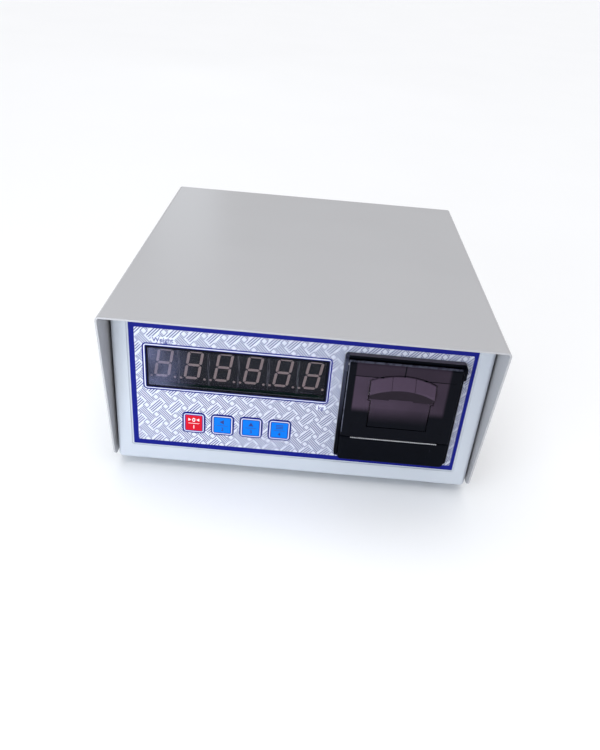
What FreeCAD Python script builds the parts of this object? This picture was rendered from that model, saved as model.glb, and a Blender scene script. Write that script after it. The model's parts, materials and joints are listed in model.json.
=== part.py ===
import FreeCAD, Part
import math
import os

from FreeCAD import Vector

# Weighing indicator terminal with a built-in 58 mm receipt printer, in millimetres.
# The pieces are drawn in the case's own frame: x = 0 is the middle of the case, y = 0 the outer
# face of the front panel with +Y towards the rear, and z = 0 the underside of the chassis.
# save() then moves each piece so that the origin is the middle of the footprint, on the table.

# ---- Case: a welded steel chassis and the cover that slides over it
chassis_w = 250.0
chassis_d = 250.0
chassis_h = 119.5
sheet = 1.2
bend_r = 3.0
return_w = 20.0            # corner returns of the front and rear panels
side_wall_h = 30.0         # low side walls that the cover is screwed to
top_flange = 12.0

cover_gap = 1.4            # between the chassis side and the cover side
cover_top_gap = 2.5        # between the chassis flange and the cover top
cover_bend_r = 2.8
cover_low = 2.5            # the cover sides end this far above the chassis underside
visor = 21.0               # the cover top reaches this far in front of the panel
side_lead = 2.5            # the cover sides reach this far at their foot
cover_rear = 3.5           # the cover reaches this far behind the rear panel
cover_corner_r = 7.0
cover_screw_r = 1.5
cover_screw_head_r = 2.6
cover_screw_inset = 45.0   # from the front and rear panels
cover_screw_z = 16.0
cover_screw_len = 8.0

foot_r = 9.0
foot_h = 7.0
foot_inset = 24.0
foot_screw_r = 2.0
foot_screw_head_r = 3.6
foot_screw_len = 6.0

# ---- Front label and its pocket
label_w = 227.0
label_h = 96.7
label_x = 0.3
label_z = 62.4             # middle of the label
label_t = 0.5
pocket_depth = 0.6
pocket_margin = 1.4
pocket_r = 2.0
label_fit = 0.3            # round the printer frame

# ---- Display
digit_count = 6
digit_pitch = 20.0
digit_h = 28.0
digit_d = 9.0
digit_gap = 0.2
digits_x = -41.3           # middle of the row
digits_z = 79.0
digit_set_back = 3.8       # from the front panel's face to the digits
figure_h = 22.4
figure_w = 10.8
figure_z = 80.3            # middle of the figures
bar_w = 1.9                # width of a segment
bar_gap = 0.35
bar_depth = 0.3
slant = math.radians(9.0)
point_r = 0.95
point_wall = 0.3           # from the left point to the side of its digit
point_gap = 0.85           # from a figure to its right point
pin_r = 0.3
pin_len = 3.2
window_w = 121.4
window_h = 31.6
window_x = -41.9
window_z = 78.6
window_fit = 0.05
window_ledge = 1.2         # of panel behind the window's rim
board_t = 1.6

# ---- Keys
key_count = 4
key_pitch = 19.9
key_w = 14.2
key_h = 15.5
key_t = 0.9
key_proud = 0.35
key_corner_r = 2.4
key_gap = 0.3
keys_x = -40.75            # middle of the row
keys_z = 35.9
stem_r = 1.7
stem_fit = 0.08
stem_in_switch = 1.2
switch_size = 12.0
switch_h = 4.3
switch_bore = 2.6

# ---- Printer frame, door and lower cover
frame_w = 79.0
frame_h = 82.5
frame_x = 67.85
frame_z = 61.25
frame_rim = 2.2
frame_proud = 2.0
brow_proud = 3.2           # of the rim's top bar
frame_corner_r = 2.2
sleeve_t = 1.0
sleeve_len = 9.0
panel_fit = 0.3            # between the sleeve and the panel's cut-out
door_fit = 0.4
door_t = 2.4
door_face = -7.0
door_top_gap = 0.4
slot_z = 41.0              # the door's free edge
lower_top = 39.8
lower_face = -6.0
hinge_y = -4.6
hinge_drop = 2.9           # from the door's top edge to the hinge axis
pin_radius = 1.0
running_fit = 0.05
hinge_boss_r = 2.3
hinge_boss_len = 8.0
ear_h = 9.5
cheek_t = 2.0

# ---- Door latch lever
tab_w = 39.3
tab_low = 50.8
tab_top = 72.0
arch_w = 42.6
arch_shoulder = 87.0
arch_rise = 5.0
arch_proud = 3.5
arch_slope_h = 9.0         # of the grip's sloping face, from its top edge to its crest
slit = 0.7
latch_y = -3.4
latch_barrel_r = 1.6
latch_pin_len = 2.6
latch_boss_t = 3.0

# ---- Paper feed
housing_t = 1.6
housing_front = 1.0
housing_d = 49.0
lip_h = 3.4                # hangs inside the bay, behind the hinge
paper_w = 57.0
roll_r = 19.0
core_r = 7.6
spindle_r = 6.0
spindle_end_r = 3.0
spindle_fit = 0.1
roll_y = 24.5
roll_z = 74.5
bay_floor = 52.0
platen_r = 5.0
platen_w = 58.0
shaft_r = 1.5
platen_y = 3.0
platen_z = 48.0
gear_module = 0.6
gear_w = 2.8
gear_backlash = 0.14
pressure_angle = math.radians(20.0)
platen_teeth = 18
idler_teeth = 28
pinion_teeth = 14
pinion_angle = math.radians(-60.0)
motor_r = 7.5
motor_len = 15.0
head_gap = 0.3
head_t = 2.8
tear_w = 59.6
tear_t = 0.7
tear_tooth = 1.4
tear_reach = 1.2           # of the teeth in front of the lower cover

# ---- Inside and rear
main_w = 125.0
main_d = 80.0
main_lift = 8.0
battery_w = 70.0
battery_d = 47.0
battery_h = 101.0
strap_w = 22.0
core_w = 56.0
core_d = 28.0
core_h = 48.0
ribbon_w = 20.0
ribbon_t = 0.9
rear_z = 36.0
inlet_x = 86.0
inlet_w = 28.0
inlet_h = 20.5
rocker_x = 50.0
fuse_x = 26.0
serial_x = -34.0
socket_x = -78.0
socket_r = 8.0
socket_reach = 13.0        # the part that stands furthest out of the rear panel

# ---- Worked out from the sizes above
X = Vector(1, 0, 0)
Y = Vector(0, 1, 0)
Z = Vector(0, 0, 1)
total_d = visor + chassis_d + socket_reach
to_origin = Vector(0, visor - total_d / 2, foot_h)
cover_w = chassis_w + 2 * (cover_gap + sheet)
cover_top = chassis_h + cover_top_gap + sheet
panel_back = pocket_depth + sheet
label_front = pocket_depth - label_t
digit_w = digit_pitch - digit_gap
display_board_y = digit_set_back + digit_d
frame_top = frame_z + frame_h / 2
frame_low = frame_z - frame_h / 2
opening_w = frame_w - 2 * frame_rim
opening_top = frame_top - frame_rim
opening_low = frame_low + frame_rim
sleeve_w = opening_w + 2 * sleeve_t
sleeve_top = opening_top + sleeve_t
sleeve_low = opening_low - sleeve_t
door_w = opening_w - 2 * door_fit
door_back = door_face + door_t
door_top = opening_top - door_top_gap
hinge_z = door_top - hinge_drop
housing_w = opening_w - 2 * 0.2
inner_w = housing_w - 2 * housing_t
housing_back = housing_front + housing_d
arm_outer = inner_w / 2 - 0.5
gear_x = frame_x + platen_w / 2 + 0.75
spindle_len = inner_w + 2 * housing_t
pitch_r = {n: gear_module * n / 2 for n in (platen_teeth, idler_teeth, pinion_teeth)}
idler_y = platen_y + pitch_r[platen_teeth] + pitch_r[idler_teeth]
pinion_reach = pitch_r[idler_teeth] + pitch_r[pinion_teeth]
pinion_y = idler_y + pinion_reach * math.cos(pinion_angle)
pinion_z = platen_z + pinion_reach * math.sin(pinion_angle)
rear = chassis_d


# ---------------------------------------------------------------- helpers
def box(x0, x1, y0, y1, z0, z1):
    """A block between two corners."""
    return Part.makeBox(x1 - x0, y1 - y0, z1 - z0, Vector(x0, y0, z0))


def rod(start, direction, radius, length):
    """A cylinder from a start point along a direction."""
    return Part.makeCylinder(radius, length, Vector(*start), direction)


def fuse(*shapes):
    return shapes[0].multiFuse(list(shapes[1:])).removeSplitter()


def cut(shape, *tools):
    return shape.cut(list(tools))


def lies_along(edge, direction):
    straight = hasattr(edge.Curve, "Direction")
    return straight and abs(edge.Curve.Direction.dot(direction)) > 0.99


def rounded(shape, direction, radius):
    """The shape with every straight edge along a direction rounded."""
    return shape.makeFillet(radius, [e for e in shape.Edges if lies_along(e, direction)])


def plate(x, z, width, height, y0, y1, radius=0.0):
    """A plate centred at x, z with its thickness along Y, and rounded corners."""
    blank = box(x - width / 2, x + width / 2, y0, y1, z - height / 2, z + height / 2)
    return rounded(blank, Y, radius) if radius else blank


def prism(points, direction):
    """A closed outline pushed along a direction."""
    outline = Part.makePolygon([Vector(*p) for p in points] + [Vector(*points[0])])
    return Part.Face(outline).extrude(direction)


def row(count, pitch, middle):
    return [middle + pitch * (i - (count - 1) / 2) for i in range(count)]


def hexagon(centre, direction, across, length):
    """A hexagonal bar from a centre point along Y or Z."""
    r = across / math.sqrt(3)
    turns = [math.radians(60 * i) for i in range(6)]
    x, y, z = centre
    if direction == Y:
        points = [(x + r * math.cos(a), y, z + r * math.sin(a)) for a in turns]
    else:
        points = [(x + r * math.cos(a), y + r * math.sin(a), z) for a in turns]
    return prism(points, direction * length)


def save(name, *solids):
    """Writes one node, moved to the part's own frame."""
    shape = solids[0].copy() if len(solids) == 1 else Part.makeCompound(list(solids))
    shape.translate(to_origin)
    shape.exportStep(f"parts/{name}.step")


# ---------------------------------------------------------------- case
def cover_screw_places():
    return [(side, y) for side in (-1, 1) for y in (cover_screw_inset, rear - cover_screw_inset)]


def foot_places():
    across = chassis_w / 2 - foot_inset
    return [(x, y) for x in (-across, across) for y in (foot_inset, rear - foot_inset)]


def display_standoff_places():
    left = digits_x - digit_count * digit_pitch / 2
    right = digits_x + digit_count * digit_pitch / 2
    return [(x, z) for x in (left + 2.5, right - 2.5) for z in (keys_z - 6, keys_z + 20)]


def main_board_places():
    x, y = main_corner()
    return [(x + a, y + b) for a in (5, main_w - 5) for b in (5, main_d - 5)]


def main_corner():
    return -chassis_w / 2 + 20, 36.0


def chassis():
    """Tray of folded sheet: floor, full front and rear panels, low side walls."""
    outer = box(-chassis_w / 2, chassis_w / 2, 0, chassis_d, 0, chassis_h)
    outer = outer.makeFillet(bend_r, outer.Edges)
    inner = box(-chassis_w / 2 + sheet, chassis_w / 2 - sheet, sheet, chassis_d - sheet, sheet,
                chassis_h - sheet)
    inner = inner.makeFillet(bend_r - sheet, inner.Edges)
    shell = outer.cut(inner)
    far = chassis_w
    mouth = box(-far, far, top_flange, chassis_d - top_flange, chassis_h - bend_r - 1, far)
    windows = box(-far, far, return_w, chassis_d - return_w, side_wall_h, far)
    shell = cut(shell, mouth, windows)
    backing = plate(label_x, label_z, label_w + 2 * pocket_margin + 2 * sheet,
                    label_h + 2 * pocket_margin + 2 * sheet, sheet / 2, panel_back, pocket_r)
    shell = fuse(shell, backing)
    tools = [plate(label_x, label_z, label_w + 2 * pocket_margin, label_h + 2 * pocket_margin,
                   -1, pocket_depth, pocket_r)]
    tools += front_openings() + rear_openings() + floor_openings()
    return cut(shell, *tools)


def front_openings():
    """Holes in the front panel for the display, the keys and the printer."""
    tools = [plate(window_x, window_z, window_w - 2 * window_ledge, window_h - 2 * window_ledge,
                   0, 3 * sheet, 1.0)]
    for x in row(key_count, key_pitch, keys_x):
        tools.append(plate(x, keys_z, key_w + 2 * key_gap, key_h + 2 * key_gap, 0, 3 * sheet,
                           key_corner_r))
    tools.append(plate(frame_x, (sleeve_top + sleeve_low) / 2, sleeve_w + 2 * panel_fit,
                       sleeve_top - sleeve_low + 2 * panel_fit, 0, 3 * sheet, 1.0))
    return tools


def rear_openings():
    """Holes in the rear panel for the sockets, and two rows of vent slots."""
    y0 = rear - 2 * sheet
    y1 = rear + sheet
    tools = [plate(inlet_x, rear_z, inlet_w, inlet_h, y0, y1, 1.5),
             plate(rocker_x, rear_z, 13.2, 19.6, y0, y1, 0.8),
             rod((fuse_x, y0, rear_z), Y, 6.1, y1 - y0),
             plate(serial_x, rear_z, 19.6, 11.2, y0, y1, 2.5),
             rod((socket_x, y0, rear_z), Y, socket_r + 0.1, y1 - y0)]
    for offset in (-12.5, 12.5):
        tools.append(rod((serial_x + offset, y0, rear_z), Y, 1.6, y1 - y0))
    for offset in (-20.0, 20.0):
        tools.append(rod((inlet_x + offset, y0, rear_z), Y, 1.6, y1 - y0))
    for z in (78.0, 92.0):
        for x in row(12, 9.0, 0.0):
            tools.append(plate(x, z, 3.0, 10.0, y0, y1, 1.45))
    return tools


def floor_openings():
    """Screw holes in the floor and the side walls, and vent slots under the board."""
    tools = [rod((x, y, -sheet), Z, foot_screw_r + 0.1, 3 * sheet) for x, y in foot_places()]
    tools += [rod((x, y, -sheet), Z, 1.6, 3 * sheet) for x, y in main_board_places()]
    for side, y in cover_screw_places():
        start = (side * (chassis_w / 2 + 1), y, cover_screw_z)
        tools.append(rod(start, X * -side, cover_screw_r + 0.15, 3 * sheet))
    x0, y0 = main_corner()
    for i in range(9):
        x = x0 + 22 + 10 * i
        tools.append(rounded(box(x, x + 3, y0 + 20, y0 + 60, -sheet, 2 * sheet), Z, 1.45))
    return tools


def top_cover():
    """Cover folded to a U, its sides slanting forward to a visor over the panel."""
    half = cover_w / 2
    outer = box(-half, half, -visor, rear + cover_rear, cover_low, cover_top)
    inner = box(-half + sheet, half - sheet, -visor - 1, rear + cover_rear + 1, cover_low - 1,
                cover_top - sheet)
    folded = top_rounded(outer, cover_bend_r).cut(top_rounded(inner, cover_bend_r - sheet))
    slope_top = cover_top - cover_bend_r
    side = prism([(-half - 1, -visor, cover_top + 1), (-half - 1, rear + cover_rear, cover_top + 1),
                  (-half - 1, rear + cover_rear, cover_low), (-half - 1, -side_lead, cover_low),
                  (-half - 1, -visor, slope_top)], X * (cover_w + 2))
    low = [e for e in side.Edges if lies_along(e, X) and e.CenterOfMass.z < cover_low + 1]
    folded = folded.common(side.makeFillet(cover_corner_r, low))
    holes = [cover_screw(side, y, 0.06) for side, y in cover_screw_places()]
    return cut(folded, *holes)


def top_rounded(block, radius):
    high = max(v.Z for v in block.Vertexes) - 0.01
    edges = [e for e in block.Edges if lies_along(e, Y) and e.CenterOfMass.z > high]
    return block.makeFillet(radius, edges)


def cover_screw(side, y, grow=0.0):
    """Countersunk screw, flush with the cover side. Grown a little, it cuts its own hole."""
    face = side * (cover_w / 2)
    inward = X * -side
    depth = cover_screw_head_r - cover_screw_r
    head = Part.makeCone(cover_screw_head_r + grow, cover_screw_r + grow, depth,
                         Vector(face, y, cover_screw_z), inward)
    shank = rod((face, y, cover_screw_z), inward, cover_screw_r + grow, cover_screw_len)
    screw = fuse(head, shank)
    if grow:
        return screw
    recess = 0.6
    cross = [box(face - recess, face + recess, y - a, y + a, cover_screw_z - b, cover_screw_z + b)
             for a, b in ((1.4, 0.3), (0.3, 1.4))]
    return cut(screw, *cross)


def cover_nuts():
    """Press nuts inside the side walls, one for each cover screw."""
    nuts = []
    for side, y in cover_screw_places():
        face = side * (chassis_w / 2 - sheet)
        body = rod((face, y, cover_screw_z), X * -side, 3.2, 3.0)
        nuts.append(body.cut(rod((face, y, cover_screw_z), X * -side, cover_screw_r, 3.0)))
    return nuts


def rubber_foot(x, y):
    """Tapered foot with a counterbore for its screw."""
    body = Part.makeCone(foot_r - 1.2, foot_r, foot_h, Vector(x, y, -foot_h), Z)
    body = body.makeFillet(1.0, [e for e in body.Edges if e.CenterOfMass.z < -foot_h + 0.01])
    bore = rod((x, y, -foot_h - 1), Z, foot_screw_r, foot_h + 2)
    pocket = rod((x, y, -foot_h - 1), Z, foot_screw_head_r, foot_h - 2)
    return cut(body, bore, pocket)


def foot_screw(x, y):
    head_z = -foot_h + (foot_h - 3)
    head = rod((x, y, head_z - 2.2), Z, foot_screw_head_r - 0.4, 2.2)
    shank = rod((x, y, head_z), Z, foot_screw_r, 3 + foot_screw_len)
    slot = box(x - foot_screw_head_r, x + foot_screw_head_r, y - 0.5, y + 0.5, head_z - 3,
               head_z - 1.3)
    return fuse(head, shank).cut(slot)


# ---------------------------------------------------------------- front panel
def front_label():
    """Printed label with openings for the window, the keys and the printer."""
    sheet_blank = plate(label_x, label_z, label_w, label_h, label_front, pocket_depth)
    tools = [plate(window_x, window_z, window_w, window_h, -1, 2)]
    for x in row(key_count, key_pitch, keys_x):
        tools.append(plate(x, keys_z, key_w + 2 * key_gap, key_h + 2 * key_gap, -1, 2,
                           key_corner_r))
    tools.append(plate(frame_x, frame_z, frame_w + 2 * label_fit, frame_h + 2 * label_fit, -1, 2,
                       frame_corner_r))
    return cut(sheet_blank, *tools)


def display_window():
    return plate(window_x, window_z, window_w - 2 * window_fit, window_h - 2 * window_fit,
                 label_front, pocket_depth)


def segment(length, upright):
    """Outline of one mitred segment about its own middle, as (x, z) pairs."""
    half = length / 2 - bar_gap
    side = bar_w / 2
    points = [(-half, 0), (-half + side, side), (half - side, side), (half, 0),
              (half - side, -side), (-half + side, -side)]
    return [(z, x) for x, z in points] if upright else points


def digit_recesses(x):
    """The seven segments and two points of one figure, as cutters from the face inward."""
    bars = []
    reach = figure_w - bar_w
    rise = (figure_h - bar_w) / 2
    for level in (-1, 0, 1):
        bars.append((0.0, level * rise, segment(reach, False)))
    for level in (-0.5, 0.5):
        for side in (-1, 1):
            bars.append((side * reach / 2, level * rise, segment(rise, True)))
    cutters = []
    lean = math.tan(slant)
    y = digit_set_back
    for u, w, outline in bars:
        points = [(x + u + a + (w + b) * lean, y - 1, figure_z + w + b) for a, b in outline]
        cutters.append(prism(points, Y * (1 + bar_depth)))
    point_z = figure_z - figure_h / 2 + point_r / 2
    for offset in (-digit_w / 2 + point_r + point_wall, figure_w / 2 + point_r + point_gap):
        cutters.append(rod((x + offset, y - 1, point_z), Y, point_r, 1 + bar_depth))
    return cutters


def digit_pins(x, radius, length):
    """Ten pins in two rows, from the back of a digit through the display board."""
    places = [(x + a, digits_z + b) for a in row(5, 2.54, 0.0) for b in (-11.5, 11.5)]
    return [rod((a, display_board_y, b), Y, radius, length) for a, b in places]


def led_digit(x):
    """Seven-segment module: block with recessed segments and ten pins."""
    body = plate(x, digits_z, digit_w, digit_h, digit_set_back, display_board_y)
    return fuse(cut(body, *digit_recesses(x)), *digit_pins(x, pin_r, pin_len))


def display_board():
    """Board behind the panel that carries the digits and the switches."""
    half = digit_count * digit_pitch / 2 + 2
    z0 = keys_z - switch_size / 2 - 4
    z1 = digits_z + digit_h / 2 + 1
    board = box(digits_x - half, digits_x + half, display_board_y, display_board_y + board_t, z0, z1)
    board = rounded(board, Y, 1.5)
    holes = []
    for x in row(digit_count, digit_pitch, digits_x):
        holes += digit_pins(x, pin_r + 0.1, board_t + 1)
    for x, z in display_standoff_places():
        holes.append(rod((x, display_board_y - 1, z), Y, 1.6, board_t + 2))
    return cut(board, *holes)


def display_standoffs():
    """Threaded posts fixed to the panel, with the board screwed to their ends."""
    return [hexagon((x, panel_back, z), Y, 5.0, display_board_y - panel_back)
            for x, z in display_standoff_places()]


def board_screws():
    """Pan-head screws that hold the display board and the main board."""
    screws = []
    for x, z in display_standoff_places():
        y = display_board_y + board_t
        post = rod((x, display_board_y, z), Y, 1.5, board_t)
        screws.append(fuse(post, rod((x, y, z), Y, 2.8, 2.0)))
    for x, y in main_board_places():
        z = sheet + main_lift
        post = rod((x, y, z), Z, 1.5, board_t)
        screws.append(fuse(post, rod((x, y, z + board_t), Z, 2.8, 2.0)))
    return screws


def tact_switch(x):
    """Body of a push switch on the display board, with the bore that its stem slides in."""
    y0 = display_board_y - switch_h
    body = plate(x, keys_z, switch_size, switch_size, y0, display_board_y, 1.0)
    return body.cut(rod((x, y0 - 1, keys_z), Y, stem_r + stem_fit, 1 + switch_bore))


def key(x):
    """Raised key pad with the stem that works its switch."""
    back = key_t - key_proud
    pad = plate(x, keys_z, key_w, key_h, -key_proud, back, key_corner_r - key_gap)
    front = [e for e in pad.Edges if abs(e.CenterOfMass.y + key_proud) < 0.01]
    pad = pad.makeFillet(0.25, front)
    switch_face = display_board_y - switch_h
    return fuse(pad, rod((x, back, keys_z), Y, stem_r, switch_face + stem_in_switch - back))


# ---------------------------------------------------------------- printer frame and housing
def printer_frame():
    """Frame round the printer: a rim on the panel, a sleeve through it, and two hinge ears."""
    rim = plate(frame_x, frame_z, frame_w, frame_h, -frame_proud, pocket_depth, frame_corner_r)
    front = [e for e in rim.Edges if abs(e.CenterOfMass.y + frame_proud) < 0.01]
    rim = rim.makeFillet(0.5, front)
    sleeve_z = (sleeve_top + sleeve_low) / 2
    sleeve = plate(frame_x, sleeve_z, sleeve_w, sleeve_top - sleeve_low, 0, sleeve_len, 0.8)
    ears = [hinge_ear(side) for side in (-1, 1)]
    body = fuse(rim, sleeve, brow(), *ears)
    opening = box(frame_x - opening_w / 2, frame_x + opening_w / 2, -20, sleeve_len + 1,
                  opening_low, opening_top)
    pins = [hinge_pin(side) for side in (-1, 1)]
    return cut(body, opening, *pins)


def brow():
    """Bar along the rim's top, standing further out over the door's hinge."""
    whole = plate(frame_x, frame_z, frame_w, frame_h, -brow_proud, 0, frame_corner_r)
    front = [e for e in whole.Edges if abs(e.CenterOfMass.y + brow_proud) < 0.01]
    half = frame_w / 2 + 1
    top = box(frame_x - half, frame_x + half, -brow_proud - 1, 1, opening_top, frame_top + 1)
    return whole.makeFillet(0.5, front).common(top)


def hinge_ear(side):
    """Cheek beside the door's top corner, rounded at its nose."""
    outer = frame_x + side * frame_w / 2
    inner = frame_x + side * (door_w / 2 + door_fit)
    x0, x1 = sorted((outer, inner))
    top = hinge_z + 3.9
    ear = box(x0, x1, door_face + 0.4, 0, top - ear_h, top)
    nose = [e for e in ear.Edges if lies_along(e, X) and e.CenterOfMass.y < door_face + 0.5]
    return ear.makeFillet(2.2, nose)


def hinge_pin(side):
    """Steel pin through a hinge ear into the door's boss."""
    outer = frame_x + side * (frame_w / 2 - 0.3)
    length = frame_w / 2 - 0.3 - door_w / 2 + hinge_boss_len - 1
    return rod((outer, hinge_y, hinge_z), X * -side, pin_radius, length)


def printer_housing():
    """Bucket behind the frame: paper bay above, feed gears and motor below."""
    half = housing_w / 2
    outer = box(frame_x - half, frame_x + half, housing_front, housing_back, opening_low + 0.2,
                opening_top - 0.2)
    z_low = opening_low + 0.2 + housing_t
    z_high = opening_top - 0.2 - housing_t
    bay = box(frame_x - inner_w / 2, frame_x + inner_w / 2, housing_front - 1,
              housing_back - housing_t, bay_floor, z_high)
    works = box(frame_x - inner_w / 2, frame_x + inner_w / 2, housing_front - 1,
                housing_back - housing_t, z_low, bay_floor - housing_t)
    shelf_front = platen_y + platen_r + head_gap + head_t + 0.6
    throat = box(frame_x - inner_w / 2, frame_x + inner_w / 2, housing_front - 1, shelf_front,
                 z_low, bay_floor + 1)
    well = box(gear_x - 1.0, frame_x + inner_w / 2, housing_front - 1,
               idler_y + pitch_r[idler_teeth] + 1.5, z_low, bay_floor + 8)
    notches = []
    for side in (-1, 1):
        x = frame_x + side * (inner_w / 2 - 1)
        reach = X * (side * (housing_t + 2))
        end_r = spindle_end_r
        notches.append(rod((x, roll_y, roll_z), reach, end_r, housing_t + 2))
        x0, x1 = sorted((x, x + side * (housing_t + 2)))
        notches.append(box(x0, x1, housing_front - 1, roll_y, roll_z - end_r, roll_z + end_r))
    body = cut(outer, bay, works, throat, well, *notches)
    lip = box(frame_x - inner_w / 2 - 0.5, frame_x + inner_w / 2 + 0.5, housing_front,
              housing_front + housing_t, z_high - lip_h, z_high + 0.5)
    body = fuse(body, lip)
    return fuse(cut(body, idler_pin()), *printer_board_posts())


def idler_pin():
    """Pin in the housing's right wall that the idler gear turns on."""
    length = frame_x + housing_w / 2 - gear_x
    return rod((gear_x, idler_y, platen_z), X, shaft_r, length)


def lower_cover():
    """Black cover below the paper slot, closing the space in front of the motor."""
    half = door_w / 2
    face_low = frame_low + 0.4
    front = box(frame_x - half, frame_x + half, lower_face, -frame_proud, face_low, lower_top)
    front = rounded_low_corners(front, 2.5)
    edges = [e for e in front.Edges if e.CenterOfMass.y < lower_face + 0.01]
    front = front.makeFillet(0.4, edges)
    plug = box(frame_x - half, frame_x + half, -frame_proud, housing_front, opening_low + 0.3,
               lower_top)
    body = fuse(front, plug)
    hollow = box(frame_x - half + 2, frame_x + half - 2, lower_face + 2, housing_front + 1,
                 opening_low + 2.3, lower_top - 2)
    return body.cut(hollow)


def rounded_low_corners(block, radius):
    low = min(v.Z for v in block.Vertexes) + 0.01
    edges = [e for e in block.Edges if lies_along(e, Y) and e.CenterOfMass.z < low]
    return block.makeFillet(radius, edges)


def tear_bar():
    """Steel bar on the lower cover's top edge, with a row of teeth along its front."""
    count = int(tear_w / tear_tooth)
    pitch = tear_w / count
    x0 = frame_x - tear_w / 2
    y_tip = lower_face - tear_reach
    points = [(x0, lower_face + 3.6, lower_top)]
    for i in range(count):
        points.append((x0 + i * pitch, y_tip + 0.7, lower_top))
        points.append((x0 + (i + 0.5) * pitch, y_tip, lower_top))
    points.append((x0 + tear_w, y_tip + 0.7, lower_top))
    points.append((x0 + tear_w, lower_face + 3.6, lower_top))
    return prism(points, Z * tear_t)


# ---------------------------------------------------------------- door and latch
def arch_outline(grow):
    """Outline of the lever's arched head and its tab, as a solid cutter through the door."""
    half = arch_w / 2 + grow
    radius = arch_radius() + grow
    centre_z = arch_shoulder + arch_rise - arch_radius()
    disc = rod((frame_x, door_face - 10, centre_z), Y, radius, 30)
    block = box(frame_x - half, frame_x + half, door_face - 10, 20, tab_top - grow,
                arch_shoulder + arch_rise + 1)
    tab = box(frame_x - tab_w / 2 - grow, frame_x + tab_w / 2 + grow, door_face - 10, 20,
              tab_low - grow, tab_top + 1)
    return fuse(disc.common(block), tab)


def printer_door():
    """Smoked door, hinged at its top edge and carrying the platen at its free edge."""
    half = door_w / 2
    panel = box(frame_x - half, frame_x + half, door_face, door_back, slot_z, door_top)
    top_edges = [e for e in panel.Edges if lies_along(e, X) and e.CenterOfMass.z > door_top - 0.01
                 and e.CenterOfMass.y < door_face + 0.01]
    panel = panel.makeFillet(2.0, top_edges)
    rim = [e for e in panel.Edges if e.CenterOfMass.y < door_face + 0.01
           and (lies_along(e, Z) or e.CenterOfMass.z < slot_z + 0.01)]
    panel = panel.makeFillet(0.5, rim)
    pieces = [panel, rod((frame_x - half, hinge_y, hinge_z), X, hinge_boss_r, door_w)]
    for side in (-1, 1):
        pieces.append(platen_arm(side))
        boss_x = frame_x + side * (arch_w / 2 + slit)
        x0, x1 = sorted((boss_x, boss_x + side * latch_boss_t))
        pieces.append(box(x0, x1, door_back - 0.5, latch_y + 2.2, tab_top - 2.6, tab_top + 2.6))
    body = fuse(*pieces)
    tools = [arch_outline(slit)]
    for side in (-1, 1):
        outer = frame_x + side * (half + 1)
        tools.append(rod((outer, hinge_y, hinge_z), X * -side, pin_radius + running_fit,
                         hinge_boss_len + 0.5))
    across = frame_x - half + 1
    tools.append(rod((across, platen_y, platen_z), X, shaft_r + running_fit, door_w - 2))
    tools.append(rod((across, latch_y, tab_top), X, pin_radius + running_fit, door_w - 2))
    groove = 0.3
    seam_z = 89.5
    seam_w = 0.5
    tools.append(box(frame_x - half + 3, frame_x + half - 3, door_face - 1, door_face + groove,
                     seam_z, seam_z + seam_w))
    tools.append(box(frame_x - 0.25, frame_x + 0.25, door_face - 1, door_face + groove,
                     arch_shoulder + arch_rise, door_top - 4.5))
    for side in (-1, 1):
        tools.append(plate(frame_x + side * 30.5, tab_low, 0.9, 3.4, door_face - 1,
                           door_face + groove, 0.4))
    return cut(body, *tools)


def platen_arm(side):
    """Arm from the back of the door to one end of the platen shaft."""
    outer = frame_x + side * arm_outer
    x0, x1 = sorted((outer, outer - side * cheek_t))
    tip_r = shaft_r + 2.4
    arm = box(x0, x1, door_back - 0.5, platen_y, platen_z - tip_r, platen_z + tip_r)
    tip = rod((x0, platen_y, platen_z), X, tip_r, cheek_t)
    return fuse(arm, tip)


def latch_lever():
    """Finger lever in the door: an arched grip above its pivot and a tab below it."""
    blank = box(frame_x - arch_w, frame_x + arch_w, door_face, door_back, tab_low - 1,
                arch_shoulder + arch_rise + 1)
    lever = arch_outline(0.0).common(blank)
    lever = fuse(lever, arch_grip())
    barrel = rod((frame_x - tab_w / 2, latch_y, tab_top), X, latch_barrel_r, tab_w)
    web = box(frame_x - tab_w / 2, frame_x + tab_w / 2, door_back - 0.5, latch_y, tab_top - 1.2,
              tab_top + 1.2)
    reach = latch_pin_len + slit
    pin = rod((frame_x - arch_w / 2 - reach, latch_y, tab_top), X, pin_radius,
              arch_w + 2 * reach)
    return fuse(lever, barrel, web, pin)


def arch_grip():
    """Raised grip: an arched slope to a crest, an undercut below it, and a stepped lower lip."""
    low = tab_top + 1.2
    block = box(frame_x - arch_w / 2, frame_x + arch_w / 2, door_face - arch_proud, door_face + 0.5,
                low, arch_shoulder + arch_rise)
    radius = arch_radius()
    centre = Vector(frame_x, door_face - arch_proud, arch_shoulder + arch_rise - radius)
    cone = Part.makeCone(radius - arch_slope_h, radius, arch_proud, centre, Y)
    base = arch_outline(0.0).common(box(frame_x - arch_w, frame_x + arch_w, door_face,
                                        door_face + 0.5, low, arch_shoulder + arch_rise + 1))
    grip = fuse(block.common(cone), base)
    seam = arch_w / 6
    front = door_face - arch_proud
    crest = arch_shoulder + arch_rise - arch_slope_h
    x0 = frame_x - arch_w
    under = [(x0, front - 1, crest), (x0, front, crest), (x0, door_face - 0.8, low),
             (x0, door_face - 0.8, low - 1), (x0, front - 1, low - 1)]
    tools = [prism(under, X * (2 * arch_w)),
             box(frame_x - seam - 1, frame_x + seam + 1, front - 1, door_face, low - 1, low + 1.1)]
    for side in (-1, 1):
        x = frame_x + side * (seam + 0.5)
        tools.append(seam_groove(x, radius, centre.z))
    return cut(grip, *tools)


def arch_radius():
    return (arch_w ** 2 / 4 + arch_rise ** 2) / (2 * arch_rise)


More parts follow.
